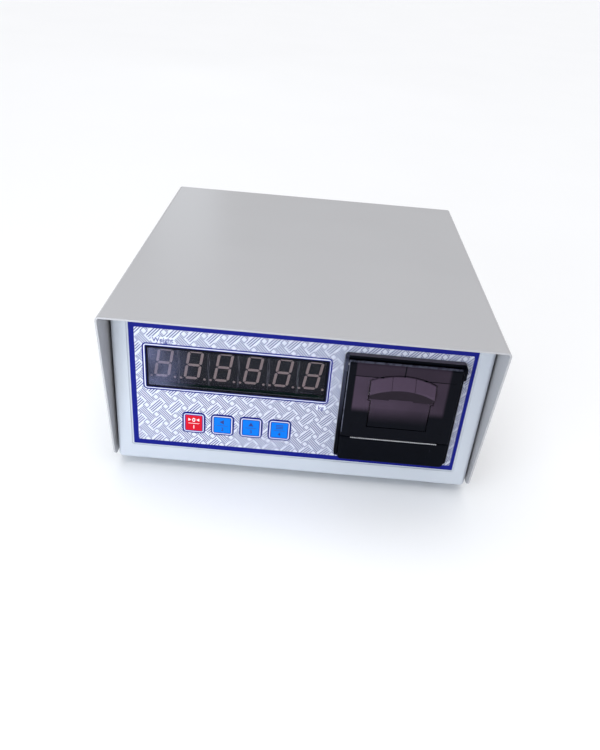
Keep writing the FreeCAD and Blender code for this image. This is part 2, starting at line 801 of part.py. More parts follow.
def seam_groove(x, radius, centre_z):
    """Thin groove up the sloping face of the grip, between two of its facets."""
    over = x - frame_x
    high = centre_z + math.sqrt(radius ** 2 - over ** 2)
    crest = centre_z + math.sqrt((radius - arch_slope_h) ** 2 - over ** 2)
    front = door_face - arch_proud
    points = [(x - 0.2, front - 1, crest - 1), (x - 0.2, front + 0.35, crest - 1),
              (x - 0.2, door_face + 0.35, high), (x - 0.2, door_face - 1, high + 1)]
    return prism(points, X * 0.4)


# ---------------------------------------------------------------- paper feed
def involute(angle):
    return math.tan(angle) - angle


def gear(teeth, y, z, tooth_at, bore_r, width=gear_w):
    """Spur gear with its axis along X and one tooth centred on the angle tooth_at."""
    pitch = gear_module * teeth / 2
    base = pitch * math.cos(pressure_angle)
    tip = pitch + 0.92 * gear_module
    root = pitch - 1.3 * gear_module
    half_at_base = math.pi / (2 * teeth) - gear_backlash / (4 * pitch) + involute(pressure_angle)
    flank = [max(base, root) + (tip - max(base, root)) * i / 4 for i in range(5)]
    half = [(r, half_at_base - involute(math.acos(min(1.0, base / r)))) for r in flank]
    if root < base:
        half.insert(0, (root, half_at_base))
    points = []
    for n in range(teeth):
        middle = tooth_at + 2 * math.pi * n / teeth
        tooth = [(r, middle - a) for r, a in half] + [(r, middle + a) for r, a in reversed(half)]
        points += [(gear_x, y + r * math.cos(t), z + r * math.sin(t)) for r, t in tooth]
    return prism(points, X * width).cut(rod((gear_x - 1, y, z), X, bore_r, width + 2))


def platen_gear():
    return gear(platen_teeth, platen_y, platen_z, 0.0, shaft_r)


def idler_tooth():
    """Angle of an idler tooth that falls in a gap of the platen gear."""
    return math.pi + math.pi / idler_teeth


def idler_gear():
    return gear(idler_teeth, idler_y, platen_z, idler_tooth(), shaft_r + running_fit)


def motor_pinion():
    """Pinion turned so that its gap meets the idler tooth nearest the line of centres."""
    step = 2 * math.pi / idler_teeth
    lead = (pinion_angle - idler_tooth()) % step
    gap_at = pinion_angle + math.pi + lead * idler_teeth / pinion_teeth
    toothed = gear(pinion_teeth, pinion_y, pinion_z, gap_at + math.pi / pinion_teeth, 0.5)
    shaft = rod((gear_x - 0.4, pinion_y, pinion_z), X, 1.0, 0.4 + gear_w)
    return fuse(toothed, shaft)


def stepper_motor():
    """Motor in the housing's lower half, with two fixing lugs."""
    x1 = gear_x - 0.8
    body = rod((x1 - motor_len, pinion_y, pinion_z), X, motor_r, motor_len)
    lugs = box(x1 - 1.0, x1, pinion_y - 1.9, pinion_y + 1.9, pinion_z - motor_r - 3,
               pinion_z + motor_r + 3)
    return fuse(body, lugs)


def platen_roller():
    body = rod((frame_x - platen_w / 2, platen_y, platen_z), X, platen_r, platen_w)
    return body.cut(rod((frame_x - platen_w / 2 - 1, platen_y, platen_z), X, shaft_r, platen_w + 2))


def platen_shaft():
    return rod((frame_x - arm_outer, platen_y, platen_z), X, shaft_r, 2 * arm_outer)


def print_head():
    """Head plate behind the platen, with its row of heating elements as a raised rib."""
    y0 = platen_y + platen_r + head_gap
    x0 = frame_x - platen_w / 2
    x1 = frame_x + platen_w / 2 - 0.5
    rib = box(x0, x1, y0, y0 + 0.8, platen_z - 3, platen_z + 3)
    sink = box(x0, x1, y0 + 0.8, y0 + head_t, platen_z - 9, platen_z + 1.8)
    foot = box(x0, x1, y0 + head_t - 0.5, y0 + head_t + 3.5, platen_z - 9, platen_z - 7)
    floor = opening_low + 0.2 + housing_t
    legs = [box(x, x + 4, y0 + head_t, y0 + head_t + 3.5, floor, platen_z - 8)
            for x in (x0 + 4, x0 + 30)]
    return fuse(rib, sink, foot, *legs)


def paper_spindle():
    """Spindle across the paper bay, its thin ends in the housing's notches."""
    ends = rod((frame_x - spindle_len / 2, roll_y, roll_z), X, spindle_end_r - 0.1, spindle_len)
    middle = rod((frame_x - paper_w / 2 - 2, roll_y, roll_z), X, spindle_r, paper_w + 4)
    return fuse(ends, middle)


def paper_core():
    x0 = frame_x - paper_w / 2
    tube = rod((x0, roll_y, roll_z), X, core_r, paper_w)
    return tube.cut(rod((x0 - 1, roll_y, roll_z), X, spindle_r + spindle_fit, paper_w + 2))


def paper_roll():
    x0 = frame_x - paper_w / 2
    roll = rod((x0, roll_y, roll_z), X, roll_r, paper_w)
    return roll.cut(rod((x0 - 1, roll_y, roll_z), X, core_r, paper_w + 2))


def printer_board():
    """Driver board on the four posts behind the printer housing."""
    z_mid = (opening_low + opening_top) / 2
    return plate(frame_x, z_mid, 60, 50, housing_back + 3, housing_back + 3 + board_t, 1.0)


def printer_board_posts():
    z_mid = (opening_low + opening_top) / 2
    return [rod((frame_x + a, housing_back, z_mid + b), Y, 2.2, 3.0)
            for a in (-26, 26) for b in (-21, 21)]


def printer_clamps():
    """Angle clamps on the housing's sides that pull the frame against the panel."""
    clamps = []
    z_mid = (opening_low + opening_top) / 2
    for side in (-1, 1):
        inner = frame_x + side * sleeve_w / 2
        x0, x1 = sorted((inner, inner + side * 1.5))
        leg = box(x0, x1, sleeve_len - 6, sleeve_len + 12, z_mid - 9, z_mid + 9)
        x2, x3 = sorted((inner, inner + side * 7))
        tip = box(x2, x3, sleeve_len - 6, sleeve_len - 4.5, z_mid - 9, z_mid + 9)
        pad_x = inner + side * 4.6
        tip = tip.cut(rod((pad_x, 0, z_mid), Y, 1.5, 20))
        clamps.append(fuse(leg, tip))
    return clamps


def clamp_screws():
    """Jack screws that press each clamp away from the back of the panel."""
    screws = []
    z_mid = (opening_low + opening_top) / 2
    for side in (-1, 1):
        x = frame_x + side * (sleeve_w / 2 + 4.6)
        start = panel_back if abs(x) < label_x + label_w / 2 + pocket_margin + sheet else sheet
        shank = rod((x, start, z_mid), Y, 1.5, sleeve_len + 1 - start)
        screws.append(fuse(shank, rod((x, sleeve_len + 1, z_mid), Y, 2.2, 2.0)))
    return screws


# ---------------------------------------------------------------- inside the case
def main_board():
    x, y = main_corner()
    z = sheet + main_lift
    board = rounded(box(x, x + main_w, y, y + main_d, z, z + board_t), Z, 2.0)
    return cut(board, *[rod((a, b, z - 1), Z, 1.6, board_t + 2) for a, b in main_board_places()])


def main_standoffs():
    return [hexagon((x, y, sheet), Z, 5.5, main_lift) for x, y in main_board_places()]


def board_parts():
    """Processor, converter can, capacitors, regulator and headers on the main board."""
    x, y = main_corner()
    z = sheet + main_lift + board_t
    parts = [box(x + 50, x + 66, y + 30, y + 46, z, z + 2.0),
             rounded(box(x + 14, x + 40, y + 44, y + 66, z, z + 6), Z, 1.0),
             box(x + 80, x + 92, y + 54, y + 58, z, z + 14),
             box(x + 54, x + 76, y + 8, y + 14, z, z + 9),
             box(x + 84, x + 106, y + 8, y + 14, z, z + 9)]
    for a, b, r, h in ((100, 36, 6.5, 20), (114, 36, 6.5, 20), (78, 40, 4.0, 11), (30, 24, 4.0, 11)):
        parts.append(rod((x + a, y + b, z), Z, r, h))
    return parts


def battery_corner():
    return -chassis_w / 2 + 22, main_corner()[1] + main_d + 20


def backup_battery():
    x, y = battery_corner()
    case = box(x, x + battery_w, y, y + battery_d, sheet, sheet + battery_h)
    case = rounded(case, Z, 3.0)
    tabs = [box(x + a, x + a + 6, y + 8, y + 9, sheet + battery_h, sheet + battery_h + 6)
            for a in (12, battery_w - 18)]
    return fuse(case, *tabs)


def battery_bracket():
    """Strap over the battery with a foot on the floor at each side."""
    x, y = battery_corner()
    y0 = y + battery_d / 2 + 2
    y1 = y0 + strap_w - 4
    top = sheet + battery_h
    strap = box(x - 1.5, x + battery_w + 1.5, y0, y1, sheet, top + 1.5)
    strap = strap.cut(box(x, x + battery_w, y0 - 1, y1 + 1, sheet, top))
    feet = [box(a, a + 13, y0, y1, sheet, sheet + 1.5) for a in (x - 14, x + battery_w + 1)]
    holes = [rod((a, (y0 + y1) / 2, 0), Z, 2.1, 10) for a in (x - 8, x + battery_w + 8)]
    return cut(fuse(strap, *feet), *holes)


def transformer_place():
    return chassis_w / 2 - 26 - core_w, rear - 84.0


def transformer_core():
    """Stack of laminations with two mounting feet and the window for the coil."""
    x, y = transformer_place()
    core = box(x, x + core_w, y, y + core_d, sheet, sheet + core_h)
    third = core_w / 6
    windows = [box(a, a + third, y - 1, y + core_d + 1, sheet + third, sheet + core_h - third)
               for a in (x + third, x + 4 * third)]
    feet = [box(a, a + 10, y + 4, y + core_d - 4, sheet, sheet + 1.5) for a in (x - 10, x + core_w)]
    return fuse(cut(core, *windows), *feet)


def transformer_coil():
    """Winding on its bobbin, round the middle limb of the core."""
    x, y = transformer_place()
    third = core_w / 6
    low = sheet + third + 0.3
    high = sheet + core_h - third - 0.3
    over = 8.0
    coil = rounded(box(x + third + 0.3, x + 5 * third - 0.3, y - over, y + core_d + over, low,
                       high), Z, 4.0)
    return coil.cut(box(x + 2 * third, x + 4 * third, y, y + core_d, low - 1, high + 1))


def ribbon(x, y0, z0, y1, z1):
    """Flat cable that runs back from a header and turns down to another one below it."""
    turn = 5.0
    flat = box(x - ribbon_w / 2, x + ribbon_w / 2, y0, y1 - turn, z0, z0 + ribbon_t)
    drop = box(x - ribbon_w / 2, x + ribbon_w / 2, y1, y1 + ribbon_t, z1, z0 - turn)
    axis = (x - ribbon_w / 2, y1 - turn, z0 - turn)
    ring = rod(axis, X, turn + ribbon_t, ribbon_w).cut(rod(axis, X, turn, ribbon_w))
    quarter = box(x - ribbon_w / 2, x + ribbon_w / 2, y1 - turn, y1 + ribbon_t, z0 - turn,
                  z0 + ribbon_t)
    return fuse(flat, drop, ring.common(quarter))


def ribbon_cables():
    """Cables from the display board and the printer board to the main board's headers."""
    x, y = main_corner()
    header_top = sheet + main_lift + board_t + 9
    x_display = x + 65
    board_face = display_board_y + board_t
    cables = [ribbon(x_display, board_face, 52.0, y + 11 - ribbon_t / 2, header_top)]
    return cables


# ---------------------------------------------------------------- rear panel
def power_inlet():
    """Mains inlet: flange outside, socket body inside, and three flat pins."""
    flange = plate(inlet_x, rear_z, inlet_w + 20, inlet_h + 3, rear, rear + 3, 4.0)
    body = plate(inlet_x, rear_z, inlet_w - 0.4, inlet_h - 0.4, rear - 18, rear, 1.4)
    cavity = plate(inlet_x, rear_z, 24.0, 16.4, rear - 14, rear + 4, 2.5)
    holes = [rod((inlet_x + a, rear - 1, rear_z), Y, 1.6, 10) for a in (-20, 20)]
    shell = cut(fuse(flange, body), cavity, *holes)
    pins = []
    for a, b in ((-7.0, -2.0), (0.0, 2.0), (7.0, -2.0)):
        pins.append(plate(inlet_x + a, rear_z + b, 2.0, 4.0, rear - 14, rear - 3))
        pins.append(plate(inlet_x + a, rear_z + b, 1.0, 6.0, rear - 26, rear - 18))
    return fuse(shell, *pins)


def inlet_screws():
    screws = []
    for a in (-20, 20):
        shank = rod((inlet_x + a, rear - 4, rear_z), Y, 1.5, 7)
        head = rod((inlet_x + a, rear + 3, rear_z), Y, 2.8, 1.8)
        slot = plate(inlet_x + a, rear_z, 0.7, 6, rear + 4, rear + 6)
        screws.append(fuse(shank, head).cut(slot))
    return screws


def switch_body():
    """Rocker switch housing with a bezel outside the panel."""
    bezel = plate(rocker_x, rear_z, 15.0, 21.4, rear, rear + 1.8, 1.5)
    body = plate(rocker_x, rear_z, 13.0, 19.4, rear - 14, rear, 0.7)
    cavity = plate(rocker_x, rear_z, 9.8, 16.2, rear - 9, rear + 3, 0.5)
    shell = fuse(bezel, body).cut(cavity)
    blades = [plate(rocker_x, rear_z + b, 4.8, 0.8, rear - 21, rear - 14) for b in (-6, 6)]
    axle = rod((rocker_x - 5.4, rear - 3, rear_z), X, 1.0, 10.8)
    return fuse(shell, *blades, axle)


def power_rocker():
    """Rocker on the switch's axle, two faces that meet in a shallow V."""
    half_h = 7.6
    x0 = rocker_x - 4.5
    axis_y = rear - 3
    points = [(x0, axis_y - 3, rear_z - 3), (x0, axis_y - 3, rear_z + 3),
              (x0, rear + 1.0, rear_z + half_h), (x0, rear + 3.2, rear_z + half_h),
              (x0, rear + 1.6, rear_z), (x0, rear + 0.2, rear_z - half_h),
              (x0, rear - 1.4, rear_z - half_h)]
    body = prism(points, X * 9.0)
    return body.cut(rod((x0 - 1, axis_y, rear_z), X, 1.0 + running_fit, 11))


def fuse_holder():
    """Panel fuse holder: threaded body inside, collar outside."""
    collar = rod((fuse_x, rear, rear_z), Y, 8.0, 2.0)
    body = rod((fuse_x, rear - 28, rear_z), Y, 6.0, 28)
    nut = hexagon((fuse_x, rear - sheet - 3, rear_z), Y, 15.0, 3.0)
    bore = rod((fuse_x, rear - 24, rear_z), Y, 4.4, 30)
    return cut(fuse(collar, body, nut), bore)


def fuse_cap():
    knob = rod((fuse_x, rear + 2.3, rear_z), Y, 6.6, 5.7)
    knob = knob.makeFillet(0.8, [e for e in knob.Edges if e.CenterOfMass.y > rear + 7.9])
    stem = rod((fuse_x, rear - 6, rear_z), Y, 4.3, 8.0)
    slot = plate(fuse_x, rear_z, 9.0, 1.2, rear + 6.8, rear + 9)
    grips = [rod((fuse_x + 6.9 * math.cos(a), rear + 3.5, rear_z + 6.9 * math.sin(a)), Y, 0.7, 10)
             for a in [math.radians(30 * i) for i in range(12)]]
    return cut(fuse(knob, stem), slot, *grips)


def serial_port():
    """Nine-way socket: flange on the panel, D-shaped nose and two jack posts."""
    flange = plate(serial_x, rear_z, 30.8, 12.4, rear, rear + 1.0, 1.0)
    nose = [(serial_x - 8.3, rear, rear_z + 3.9), (serial_x + 8.3, rear, rear_z + 3.9),
            (serial_x + 7.2, rear, rear_z - 3.9), (serial_x - 7.2, rear, rear_z - 3.9)]
    front = rounded(prism(nose, Y * 6.0), Y, 1.6)
    body = plate(serial_x, rear_z, 18.6, 10.2, rear - 9, rear, 2.2)
    posts = []
    for offset in (-12.5, 12.5):
        posts.append(hexagon((serial_x + offset, rear + 1, rear_z), Y, 4.8, 5.0))
    whole = fuse(flange, front, body, *posts)
    tools = [rod((serial_x + offset, rear - 2, rear_z), Y, 1.3, 9) for offset in (-12.5, 12.5)]
    for count, z in ((5, 1.4), (4, -1.4)):
        for x in row(count, 2.77, serial_x):
            tools.append(rod((x, rear + 2, rear_z + z), Y, 0.5, 5))
    return cut(whole, *tools)


def load_cell_socket():
    """Round multi-pole socket for the weighing platform's cable."""
    barrel = rod((socket_x, rear - 12, rear_z), Y, socket_r, 12 + socket_reach)
    flange = rod((socket_x, rear, rear_z), Y, socket_r + 2.0, 2.0)
    face = rod((socket_x, rear + 3, rear_z), Y, socket_r - 1.6, socket_reach)
    pins = [rod((socket_x + 4 * math.cos(a), rear + 2, rear_z + 4 * math.sin(a)), Y, 0.8, 7)
            for a in [math.radians(60 + 60 * i) for i in range(5)]]
    keyway = plate(socket_x, rear_z + socket_r - 1.6, 1.6, 1.4, rear + 3, rear + socket_reach + 1)
    return fuse(cut(fuse(barrel, flange), face, keyway), *pins)


def socket_nut():
    nut = hexagon((socket_x, rear - sheet - 3.5, rear_z), Y, 21.0, 3.5)
    return nut.cut(rod((socket_x, rear - 10, rear_z), Y, socket_r, 10))


# ---------------------------------------------------------------- write every node
def main():
    os.makedirs("parts", exist_ok=True)
    save("chassis", chassis())
    save("top_cover", top_cover())
    save("cover_screws", *[cover_screw(side, y) for side, y in cover_screw_places()])
    save("cover_nuts", *cover_nuts())
    save("rubber_feet", *[rubber_foot(x, y) for x, y in foot_places()])
    save("foot_screws", *[foot_screw(x, y) for x, y in foot_places()])
    save("front_label", front_label())
    save("display_window", display_window())
    for n, x in enumerate(row(digit_count, digit_pitch, digits_x), 1):
        save(f"led_digit_{n}", led_digit(x))
    save("display_board", display_board())
    save("display_standoffs", *display_standoffs())
    save("board_screws", *board_screws())
    key_places = row(key_count, key_pitch, keys_x)
    save("tact_switches", *[tact_switch(x) for x in key_places])
    for name, x in zip(("key_zero", "key_left", "key_up", "key_function"), key_places):
        save(name, key(x))
    save("printer_frame", printer_frame())
    save("printer_housing", printer_housing())
    save("lower_cover", lower_cover())
    save("tear_bar", tear_bar())
    save("printer_door", printer_door())
    save("hinge_pins", hinge_pin(-1), hinge_pin(1))
    save("latch_lever", latch_lever())
    save("platen_roller", platen_roller())
    save("platen_shaft", platen_shaft())
    save("platen_gear", platen_gear())
    save("idler_gear", idler_gear())
    save("idler_pin", idler_pin())
    save("motor_pinion", motor_pinion())
    save("stepper_motor", stepper_motor())
    save("print_head", print_head())
    save("paper_spindle", paper_spindle())
    save("paper_core", paper_core())
    save("paper_roll", paper_roll())
    save("printer_board", printer_board())
    save("printer_clamps", *printer_clamps())
    save("clamp_screws", *clamp_screws())
    save("main_board", main_board())
    save("main_standoffs", *main_standoffs())
    save("board_parts", *board_parts())
    save("backup_battery", backup_battery())
    save("battery_bracket", battery_bracket())
    save("transformer_core", transformer_core())
    save("transformer_coil", transformer_coil())
    save("ribbon_cable", *ribbon_cables())
    save("power_inlet", power_inlet())
    save("inlet_screws", *inlet_screws())
    save("switch_body", switch_body())
    save("power_rocker", power_rocker())
    save("fuse_holder", fuse_holder())
    save("fuse_cap", fuse_cap())
    save("serial_port", serial_port())
    save("load_cell_socket", load_cell_socket())
    save("socket_nut", socket_nut())


main()
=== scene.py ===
import json
import math

import bmesh
import bpy
from bpy.props import FloatProperty, FloatVectorProperty, PointerProperty
from bpy.types import Operator, Panel, PropertyGroup
from mathutils import Matrix, Vector


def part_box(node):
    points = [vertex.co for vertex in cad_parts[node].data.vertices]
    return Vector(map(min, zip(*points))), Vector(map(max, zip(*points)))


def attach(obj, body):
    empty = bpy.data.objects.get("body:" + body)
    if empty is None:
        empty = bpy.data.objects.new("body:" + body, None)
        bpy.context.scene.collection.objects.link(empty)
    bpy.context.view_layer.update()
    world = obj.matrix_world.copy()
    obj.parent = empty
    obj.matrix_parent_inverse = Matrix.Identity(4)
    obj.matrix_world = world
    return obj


bl_info = {
    "name": "Weighing terminal looks",
    "version": (1, 0, 0),
    "blender": (4, 5, 0),
    "location": "3D View > Sidebar > Terminal",
    "description": "Finishes and small pieces for a weighing terminal with a receipt printer",
    "category": "Object",
}

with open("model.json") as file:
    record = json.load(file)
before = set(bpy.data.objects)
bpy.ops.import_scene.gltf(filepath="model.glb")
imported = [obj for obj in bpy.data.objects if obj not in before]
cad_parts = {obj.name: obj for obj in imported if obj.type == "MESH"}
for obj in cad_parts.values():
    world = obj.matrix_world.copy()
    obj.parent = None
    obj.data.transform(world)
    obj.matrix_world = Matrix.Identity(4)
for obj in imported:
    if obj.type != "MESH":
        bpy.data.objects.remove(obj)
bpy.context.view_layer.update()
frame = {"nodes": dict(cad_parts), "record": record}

MM = 0.001
# Patterns are drawn in millimetres from the middle of the front panel's lower edge.
PANEL_FOOT = Vector((0.0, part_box("chassis")[0].y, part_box("chassis")[0].z))
KEYS = ("key_zero", "key_left", "key_up", "key_function")
KEY_BODIES = ("zero_key", "left_key", "up_key", "function_key")
# The lever's grip has two arched edges about one centre, above the same foot as the patterns.
ARC_Z = 44.13
CREST_R = 38.87
# Half the width of the tab under the lever, where the door's painted glow of the paper bay
# reaches further down, and the height of the door's seam.
TAB_REACH = 19.6
SEAM_Z = 89.4
# The two printed marks, from the middle of the window, and the pale patches behind them.
CAPTION = (-49.0, 21.0)
CAPTION_PATCH = (15.6, 4.0)
UNIT = (58.0, -21.0)
UNIT_PATCH = (6.6, 4.0)
# The label's blue border on each side, and the outlines round the window and each key.
BORDER = {"left": 3.6, "right": 2.5, "foot": 3.9, "head": 3.2}
WINDOW_OUTLINE = (125.6, 36.0)
KEY_OUTLINE = (16.2, 17.5)
# The middle of one small square in the label's pattern.
WEAVE_START = (7.69, -3.08)
# Middle of the figures, and the line of glue below them, above the same foot.
FIGURE_Z = 80.3
FOOT_SMEAR = (65.6, 66.1)
# Where the window starts to turn paler and bluer, left of the middle, and where that is full.
LEFT_PALING = (-66.0, -98.0)
DIGITS = tuple(f"led_digit_{n}" for n in range(1, 7))
# Printed marks are this thick, and a capital takes this share of the font's size.
INK_THICKNESS = 0.03
CAPITAL_SHARE = 0.73
# The camera: millimetres of lens, metres, and degrees of turn.
LENS = 33.678
CAMERA_AT = (-0.001657, -0.517955, 0.330621)
CAMERA_TURN = (58.5865, -4.4205, 2.4618)


def srgb(red, green, blue):
    """Linear colour of a screen colour whose channels go to 255."""
    shares = [c / 255 for c in (red, green, blue)]
    return tuple(s / 12.92 if s <= 0.04045 else ((s + 0.055) / 1.055) ** 2.4 for s in shares)


def on_panel(node):
    """(lowest corner, highest corner) of a CAD node in the patterns' millimetres."""
    low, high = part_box(node)
    return (low - PANEL_FOOT) / MM, (high - PANEL_FOOT) / MM


def middle_of(node):
    low, high = on_panel(node)
    return (low + high) / 2


# ---------------------------------------------------------------- what a user may change
def colour(name, description, red, green, blue):
    return FloatVectorProperty(name=name, description=description, subtype="COLOR", size=3,
                               min=0.0, max=1.0, default=srgb(red, green, blue))


def length(name, description, millimetres):
    return FloatProperty(name=name, description=description, unit="LENGTH", min=0.0,
                         precision=5, default=millimetres * MM)


class CaseLooks(PropertyGroup):
    # Painted light: the chassis coat is set paler and bluer, and the cover coat darker and
    # warmer, for the cool light on the front panel and the dimmer light on the top.
    body_paint: colour("Body paint", "Powder coat of the chassis", 198, 203, 211)
    cover_paint: colour("Cover paint", "Powder coat of the folded cover", 181, 180, 182)
    peel: length("Orange peel", "Distance between the waves in the powder coat", 1.6)
    peel_depth: length("Peel depth", "Height of the waves in the powder coat", 0.012)


class LabelLooks(PropertyGroup):
    border_ink: colour("Border ink", "Wide border and the outlines", 9, 20, 124)
    ground: colour("Ground", "Paper ground of the label", 221, 224, 236)
    line_ink: colour("Line ink", "Woven line pattern", 34, 42, 112)
    across: length("Pattern width", "Half the distance between squares in a row", 6.518)
    upward: length("Pattern height", "Distance between rows of squares", 7.209)
    line: length("Line width", "Width of a pattern line", 0.6)
    outline: length("Outline width", "Line round the window and the keys", 1.0)


class DisplayLooks(PropertyGroup):
    face: colour("Digit face", "Face of the figure modules", 20, 21, 30)
    segment: colour("Segment", "Segments with no power", 196, 172, 172)
    figure_width: length("Figure width", "Width of a figure", 10.8)
    figure_height: length("Figure height", "Height of a figure", 22.4)
    bar: length("Bar width", "Width of a segment", 1.9)
    slant: FloatProperty(name="Slant", description="Lean of the figures", subtype="ANGLE",
                         default=math.radians(9.0))


class KeyLooks(PropertyGroup):
    first: colour("First key", "Zero key", 212, 18, 40)
    others: colour("Other keys", "Three working keys", 0, 118, 226)
    ring: colour("Ring", "Pale ring round the coloured square", 214, 216, 238)
    square_width: length("Square width", "Coloured square on a key", 11.4)
    square_height: length("Square height", "Coloured square on a key", 12.6)


class PrinterLooks(PropertyGroup):
    plastic: colour("Plastic", "Black moulded parts", 5, 7, 14)
    smoke: colour("Smoked plastic", "Door and lever where they are dark", 6, 8, 16)
    # Painted light: the glow of the lit paper bay seen through the smoked door, put into the
    # door's colour.
    sheen: colour("Sheen", "Door and lever over the paper bay", 78, 64, 80)
    paper_thickness: length("Paper thickness", "Receipt paper", 0.08)


class StageLooks(PropertyGroup):
    floor: colour("Floor", "Plain pale floor", 248, 248, 249)
    sky: FloatProperty(name="Sky", description="Strength of the even light all round",
                       min=0.0, default=0.52)
    overhead: FloatProperty(name="Overhead", description="Strength of the soft light above",
                            min=0.0, default=1.72)
    window: FloatProperty(name="Window", description="Power of the cool light at the left",
                          unit="POWER", min=0.0, default=2.5)


GROUPS = {
    "terminal_case": CaseLooks,
    "terminal_label": LabelLooks,
    "terminal_display": DisplayLooks,
    "terminal_keys": KeyLooks,
    "terminal_printer": PrinterLooks,
    "terminal_stage": StageLooks,
}


# ---------------------------------------------------------------- shader arithmetic
class Term:
    """A number in a finish, so that shader sums are written as plain arithmetic."""

    def __init__(self, finish, socket):
        self.finish = finish
        self.socket = socket

    def __add__(self, other):
        return self.finish.maths("ADD", self, other)

    def __sub__(self, other):
        return self.finish.maths("SUBTRACT", self, other)

    def __rsub__(self, other):
        return self.finish.maths("SUBTRACT", other, self)

    def __mul__(self, other):
        return self.finish.maths("MULTIPLY", self, other)

    def __truediv__(self, other):
        return self.finish.maths("DIVIDE", self, other)

    def __rtruediv__(self, other):
        return self.finish.maths("DIVIDE", other, self)

    def __pow__(self, other):
        return self.finish.maths("POWER", self, other)

    def __mod__(self, other):
        return self.finish.maths("FLOORED_MODULO", self, other)

    def __lt__(self, other):
        return self.finish.maths("LESS_THAN", self, other)

    def __gt__(self, other):
        return self.finish.maths("GREATER_THAN", self, other)

    def __abs__(self):
        return self.finish.maths("ABSOLUTE", self)

    def __floor__(self):
        return self.finish.maths("FLOOR", self)

    def least(self, other):
        return self.finish.maths("MINIMUM", self, other)

    def most(self, other):
        return self.finish.maths("MAXIMUM", self, other)

    __radd__ = __add__
    __rmul__ = __mul__


class Finish:
    """One procedural material, drawn in millimetres from the foot of the front panel."""

    def __init__(self, name):
        self.material = bpy.data.materials.new(name)
        self.material.use_nodes = True
        self.tree = self.material.node_tree
        self.tree.nodes.clear()
        self.shader = self.tree.nodes.new("ShaderNodeBsdfPrincipled")
        output = self.tree.nodes.new("ShaderNodeOutputMaterial")
        self.tree.links.new(self.shader.outputs[0], output.inputs["Surface"])

    def node(self, kind, settings=None, inputs=None, output=0):
        made = self.tree.nodes.new("ShaderNode" + kind)
        for name, value in (settings or {}).items():
            setattr(made, name, value)
        for name, value in (inputs or {}).items():
            self.feed(made.inputs[name], value)
        return Term(self, made.outputs[output])

    def feed(self, socket, value):
        if isinstance(value, Term):
            self.tree.links.new(value.socket, socket)
        elif socket.type == "RGBA":
            socket.default_value = (*value[:3], 1.0)
        else:
            socket.default_value = value

    def give(self, **values):
        """Sets the shader's sockets: base_color for Base Color, and so on."""
        for name, value in values.items():
            title = name.replace("_", " ").title().replace("Ior", "IOR")
            self.feed(self.shader.inputs[title], value)
        return self

    def maths(self, operation, *values):
        return self.node("Math", {"operation": operation}, dict(enumerate(values)))

    def mix(self, share, first, second):
        return self.node("Mix", {"data_type": "RGBA"}, {0: share, 6: first, 7: second}, 2)

    def place(self, stretch=(1.0, 1.0, 1.0)):
        """Object coordinates in millimetres; a share below 1 draws a grain out that way."""
        scale = [s / MM for s in stretch]
        shift = [-p * s for p, s in zip(PANEL_FOOT, scale)]
        return self.node("Mapping", {"vector_type": "POINT"},
                         {"Vector": self.node("TexCoord", output=3), "Location": shift,
                          "Scale": scale})

    def axes(self, vector):
        split = self.node("SeparateXYZ", None, {0: vector})
        return [Term(self, socket) for socket in split.socket.node.outputs]

    def noise(self, vector, width, detail=2.0, rough=0.5):
        return self.node("TexNoise", None, {"Vector": vector, "Scale": 1 / width,
                                            "Detail": detail, "Roughness": rough})

    def clamp(self, value):
        return self.node("Clamp", None, {0: value})

    def bump(self, height, depth, strength=1.0):
        """Height goes from 0 to 1 over a depth in millimetres."""
        return self.node("Bump", None, {"Strength": strength, "Distance": depth * MM,
                                        "Height": height})

    def fade(self, value, start, end):
        """0 before start, 1 after end, and a smooth rise between them."""
        return self.node("MapRange", {"interpolation_type": "SMOOTHSTEP"},
                         {0: value, 1: start, 2: end, 3: 0.0, 4: 1.0})

    def above(self, value, limit, soft=0.08):
        """1 where a value is over a limit, with a soft edge."""
        return self.clamp((value - limit) / soft + 0.5)

    def below(self, value, limit, soft=0.08):
        """1 where a value is under a limit, with a soft edge."""
        return self.clamp((limit - value) / soft + 0.5)

    def band(self, value, low, high, soft=0.08):
        """1 where a value lies between two limits, with soft edges."""
        return self.above(value, low, soft) * self.below(value, high, soft)

    def rounded(self, x, z, centre, size, radius):
        """Distance from a rounded rectangle's edge, below 0 inside it."""
        over_x = abs(x - centre[0]) - (size[0] / 2 - radius)
        over_z = abs(z - centre[1]) - (size[1] / 2 - radius)
        out_x = over_x.most(0.0)
        out_z = over_z.most(0.0)
        corner = (out_x * out_x + out_z * out_z) ** 0.5
        return corner + over_x.most(over_z).least(0.0) - radius


def scaled(tint, share):
    return tuple(min(1.0, c * share) for c in tint)


# ---------------------------------------------------------------- finishes
def grained(name, roughness, grain, depth, drift):
    """Uneven gloss over a fine surface grain; gives the finish and its slow drift."""
    finish = Finish(name)
    place = finish.place()
    slow = finish.noise(place, drift, 3.0)
    fine = finish.noise(place, grain, 3.0, 0.6)
    gloss = slow * (0.25 * roughness) + fine * (0.12 * roughness) + roughness * 0.82
    finish.give(roughness=gloss, normal=finish.bump(fine, depth))
    return finish, slow


def moulded(name, tint, roughness, grain=0.5, depth=0.01, variation=0.06, drift=18.0):
    """Plain material with slow colour drift, uneven gloss and a fine surface grain."""
    finish, slow = grained(name, roughness, grain, depth, drift)
    body = finish.mix(slow, scaled(tint, 1 - variation), scaled(tint, 1 + variation))
    return finish.give(base_color=body)


